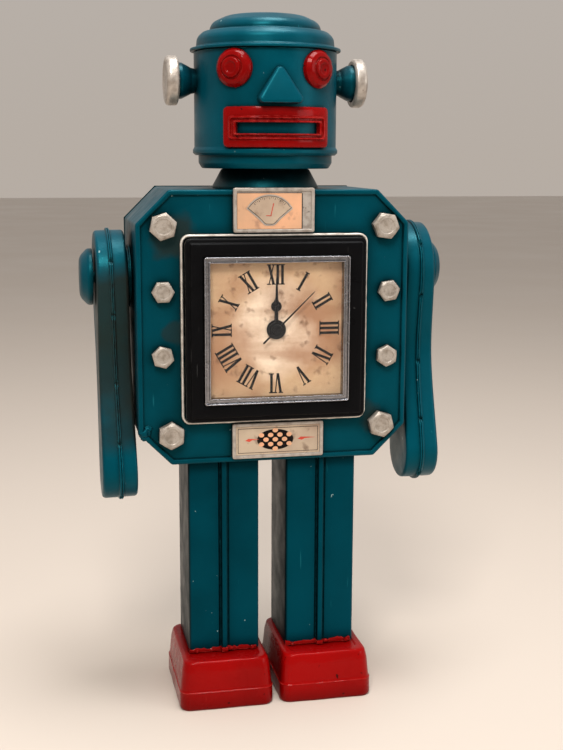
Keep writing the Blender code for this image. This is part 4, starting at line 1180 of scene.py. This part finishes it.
def make_foot(side):
    """A pressed foot with soft shoulders and a raised seam a little above the floor."""
    node = f"foot_{side}"
    centre, half, high, seam = middle(node), half_size(node), top_of(node), FOOT_SEAM
    profile = rounded([
        (1.3, 0.0), (0.5, 0.0), (0.0, 1.2, 0.8), (0.1, seam - 0.9, 0.3), (0.0, seam - 0.5, 0.2),
        (0.5, seam - 0.1, 0.2), (0.7, seam + 0.8, 0.4), (1.7, high - 6.0, 5.0), (2.9, high, 2.4),
        (7.0, high, 1.5), (8.0, high - 0.5, 1.0), (11.0, high - 0.5),
    ], closed=False, steps=6)
    loops = []
    for inset, height in profile:
        corner = max(1.0, FOOT_CORNER - inset * 0.3)
        loops.append(at(sided_rectangle(half.x - inset, half.y - inset, corner, 16, 8), height))
    place = Matrix.Translation((centre.x, centre.y, 0))
    piece(f"foot_shell_{side}", dented(skin(loops), 0.5, 14.0), place, "red", "torso", node)
    repaint("red", f"sole_{side}")


# ---------------- Movement


def make_movement():
    """The wheels and springs keep their CAD shapes."""
    repaint(
        "brass", "movement_front_plate", "movement_back_plate", "centre_wheel", "hour_wheel",
        "third_wheel", "seconds_wheel", "escape_wheel", "great_wheel", "balance_wheel", "setting_arbor",
    )
    repaint("steel", "pallet_lever", "winding_arbor")
    repaint("blued", "mainspring", "hairspring")


KNOB_RADIUS, KNURL_DEPTH = 7.5, 0.25


def make_knob():
    """A knurled grip, open at its back round a recess, over the knob of the setting arbor."""
    axis = joint_named("setting_spin")["pos_m"]
    end = forward("setting_arbor", "back")
    ridges = [KNOB_RADIUS + (0 if i % 4 < 2 else KNURL_DEPTH) for i in range(144)]
    knurl = [polar(radius, angle) for radius, angle in zip(ridges, around(144))]
    profile = rounded([
        (0.4, end + 9.0, 0.3), (0.0, end + 8.4, 0.4), (0.0, end, 0.6), (2.5, end), (3.2, end + 0.4),
        (7.4, end + 0.4),
    ], closed=False)
    loops = []
    for inset, height in profile:
        share = 1 - inset / KNOB_RADIUS
        loops.append([(x * share, y * share, height) for x, y in knurl])
    piece("knob_grip", skin(loops), front_frame(axis[0] / MM, axis[2] / MM), "brass", "setting_arbor")


def make_key():
    """A winding key: a socket with two round eyes at its end."""
    node = "winding_key"
    centre, half = middle(node), half_size(node)
    front, end = forward(node), forward(node, "back")
    place = front_frame(centre.x, centre.z)
    socket = turned([
        (0.1, front - 2.0), (2.6, front - 2.0), (2.6, front), (4.5, front, 0.5), (4.5, end + 8.2, 1.5),
        (3.2, end + 6.4), (0.1, end + 6.4),
    ], 48)
    piece("key_socket", socket, place, "nickel", "winding_arbor", node)
    section = ellipse(5.45, 0, 2.05, 0.9, 20)
    for side, sign in SIDES.items():
        lift = place @ Matrix.Translation((sign * (half.x - 7.5), 0, end + 7.5))
        eye_place = lift @ UPRIGHT
        piece(f"key_eye_{side}", turned(section, 48, ring=True), eye_place, "nickel", "winding_arbor")


# ---------------- Stage


FLOOR = 8.0  # half its size, in metres
LIT_POINT = Vector((0, 0, 0.2))

# Lights, in metres and watts: (name, place, size, power, colour)
LIGHTS = (
    ("key", (-0.3, -0.95, 1.2), 0.4, 15.0, (1.0, 0.97, 0.93)),
    ("fill", (1.2, -0.9, 0.5), 0.7, 4.0, (0.95, 0.98, 1.0)),
    ("top", (0.1, -0.1, 1.3), 0.5, 12.0, (1.0, 1.0, 1.0)),
)


def make_stage():
    """A plain floor, a soft sky that is warmer near the ground, and three lights."""
    floor_mesh = bpy.data.meshes.new("floor")
    corners = [(-FLOOR, -FLOOR, 0), (FLOOR, -FLOOR, 0), (FLOOR, FLOOR, 0), (-FLOOR, FLOOR, 0)]
    floor_mesh.from_pydata(corners, [], [(0, 1, 2, 3)])
    floor = linked("floor", floor_mesh)
    surface = Surface("floor", (0.6, 0.52, 0.45), 0.6, Specular_IOR_Level=0.2)
    surface.rough(surface.ramp(surface.noise(3.0), 0.3, 0.7, 0.45, 0.65))
    floor_mesh.materials.append(surface.material)

    world = bpy.data.worlds.new("studio")
    world.use_nodes = True
    nodes, links = world.node_tree.nodes, world.node_tree.links
    place = nodes.new("ShaderNodeTexCoord")
    split = nodes.new("ShaderNodeSeparateXYZ")
    sky = nodes.new("ShaderNodeValToRGB")
    links.new(place.outputs["Generated"], split.inputs["Vector"])
    links.new(split.outputs["Z"], sky.inputs["Fac"])
    links.new(sky.outputs["Color"], nodes["Background"].inputs["Color"])
    sky.color_ramp.elements[0].color = (0.9, 0.8, 0.71, 1.0)
    sky.color_ramp.elements[1].color = (1.0, 1.0, 1.0, 1.0)
    nodes["Background"].inputs["Strength"].default_value = 0.52
    bpy.context.scene.world = world

    for name, spot, size, power, colour in LIGHTS:
        light = bpy.data.lights.new(name, "AREA")
        light.energy, light.size, light.color = power, size, colour
        holder = linked(name, light)
        holder.location = spot
        holder.rotation_euler = (LIT_POINT - Vector(spot)).to_track_quat("-Z", "Y").to_euler()


CAMERA_YAW, CAMERA_PITCH, CAMERA_ROLL = math.radians(-11.96), math.radians(-10.41), math.radians(0.22)
CAMERA_AT = (-130.33, -666.72, 305.99)  # from the middle of the torso, at floor level


def make_camera():
    """In front of the robot, a little to the -X side, and looking slightly down."""
    camera = bpy.data.cameras.new("camera")
    camera.sensor_width = 36
    camera.lens = 57.63
    camera.clip_start = 0.01
    holder = linked("camera", camera)
    holder.location = Vector(CAMERA_AT) * MM + Vector((0, middle("torso_shell").y * MM, 0))
    aim = Matrix.Rotation(CAMERA_YAW, 3, "Z") @ Matrix.Rotation(math.pi / 2 + CAMERA_PITCH, 3, "X")
    holder.rotation_euler = (aim @ Matrix.Rotation(CAMERA_ROLL, 3, "Z")).to_euler()
    bpy.context.scene.camera = holder


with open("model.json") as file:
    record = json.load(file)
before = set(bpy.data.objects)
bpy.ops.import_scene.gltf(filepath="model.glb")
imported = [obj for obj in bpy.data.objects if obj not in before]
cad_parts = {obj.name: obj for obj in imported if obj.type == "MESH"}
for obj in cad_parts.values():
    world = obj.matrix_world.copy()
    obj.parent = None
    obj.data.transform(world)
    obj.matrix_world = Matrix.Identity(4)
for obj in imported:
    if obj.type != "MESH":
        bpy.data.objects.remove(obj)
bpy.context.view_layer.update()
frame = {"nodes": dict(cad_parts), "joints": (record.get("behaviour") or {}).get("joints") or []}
finishes = make_finishes()

make_torso()
make_bolts()
clock = front_frame(0, middle("dial").z)
make_clock_case(clock)
make_dial(clock)
make_hands(clock)
make_top_label()
make_bottom_label()
make_neck()
make_head()
make_eyes()
make_nose()
make_mouth()
make_ears()
make_arms()
for foot_side in SIDES:
    make_leg(foot_side)
    make_foot(foot_side)
make_movement()
make_knob()
make_key()
make_stage()
make_camera()
bpy.context.scene.view_settings.view_transform = "Standard"
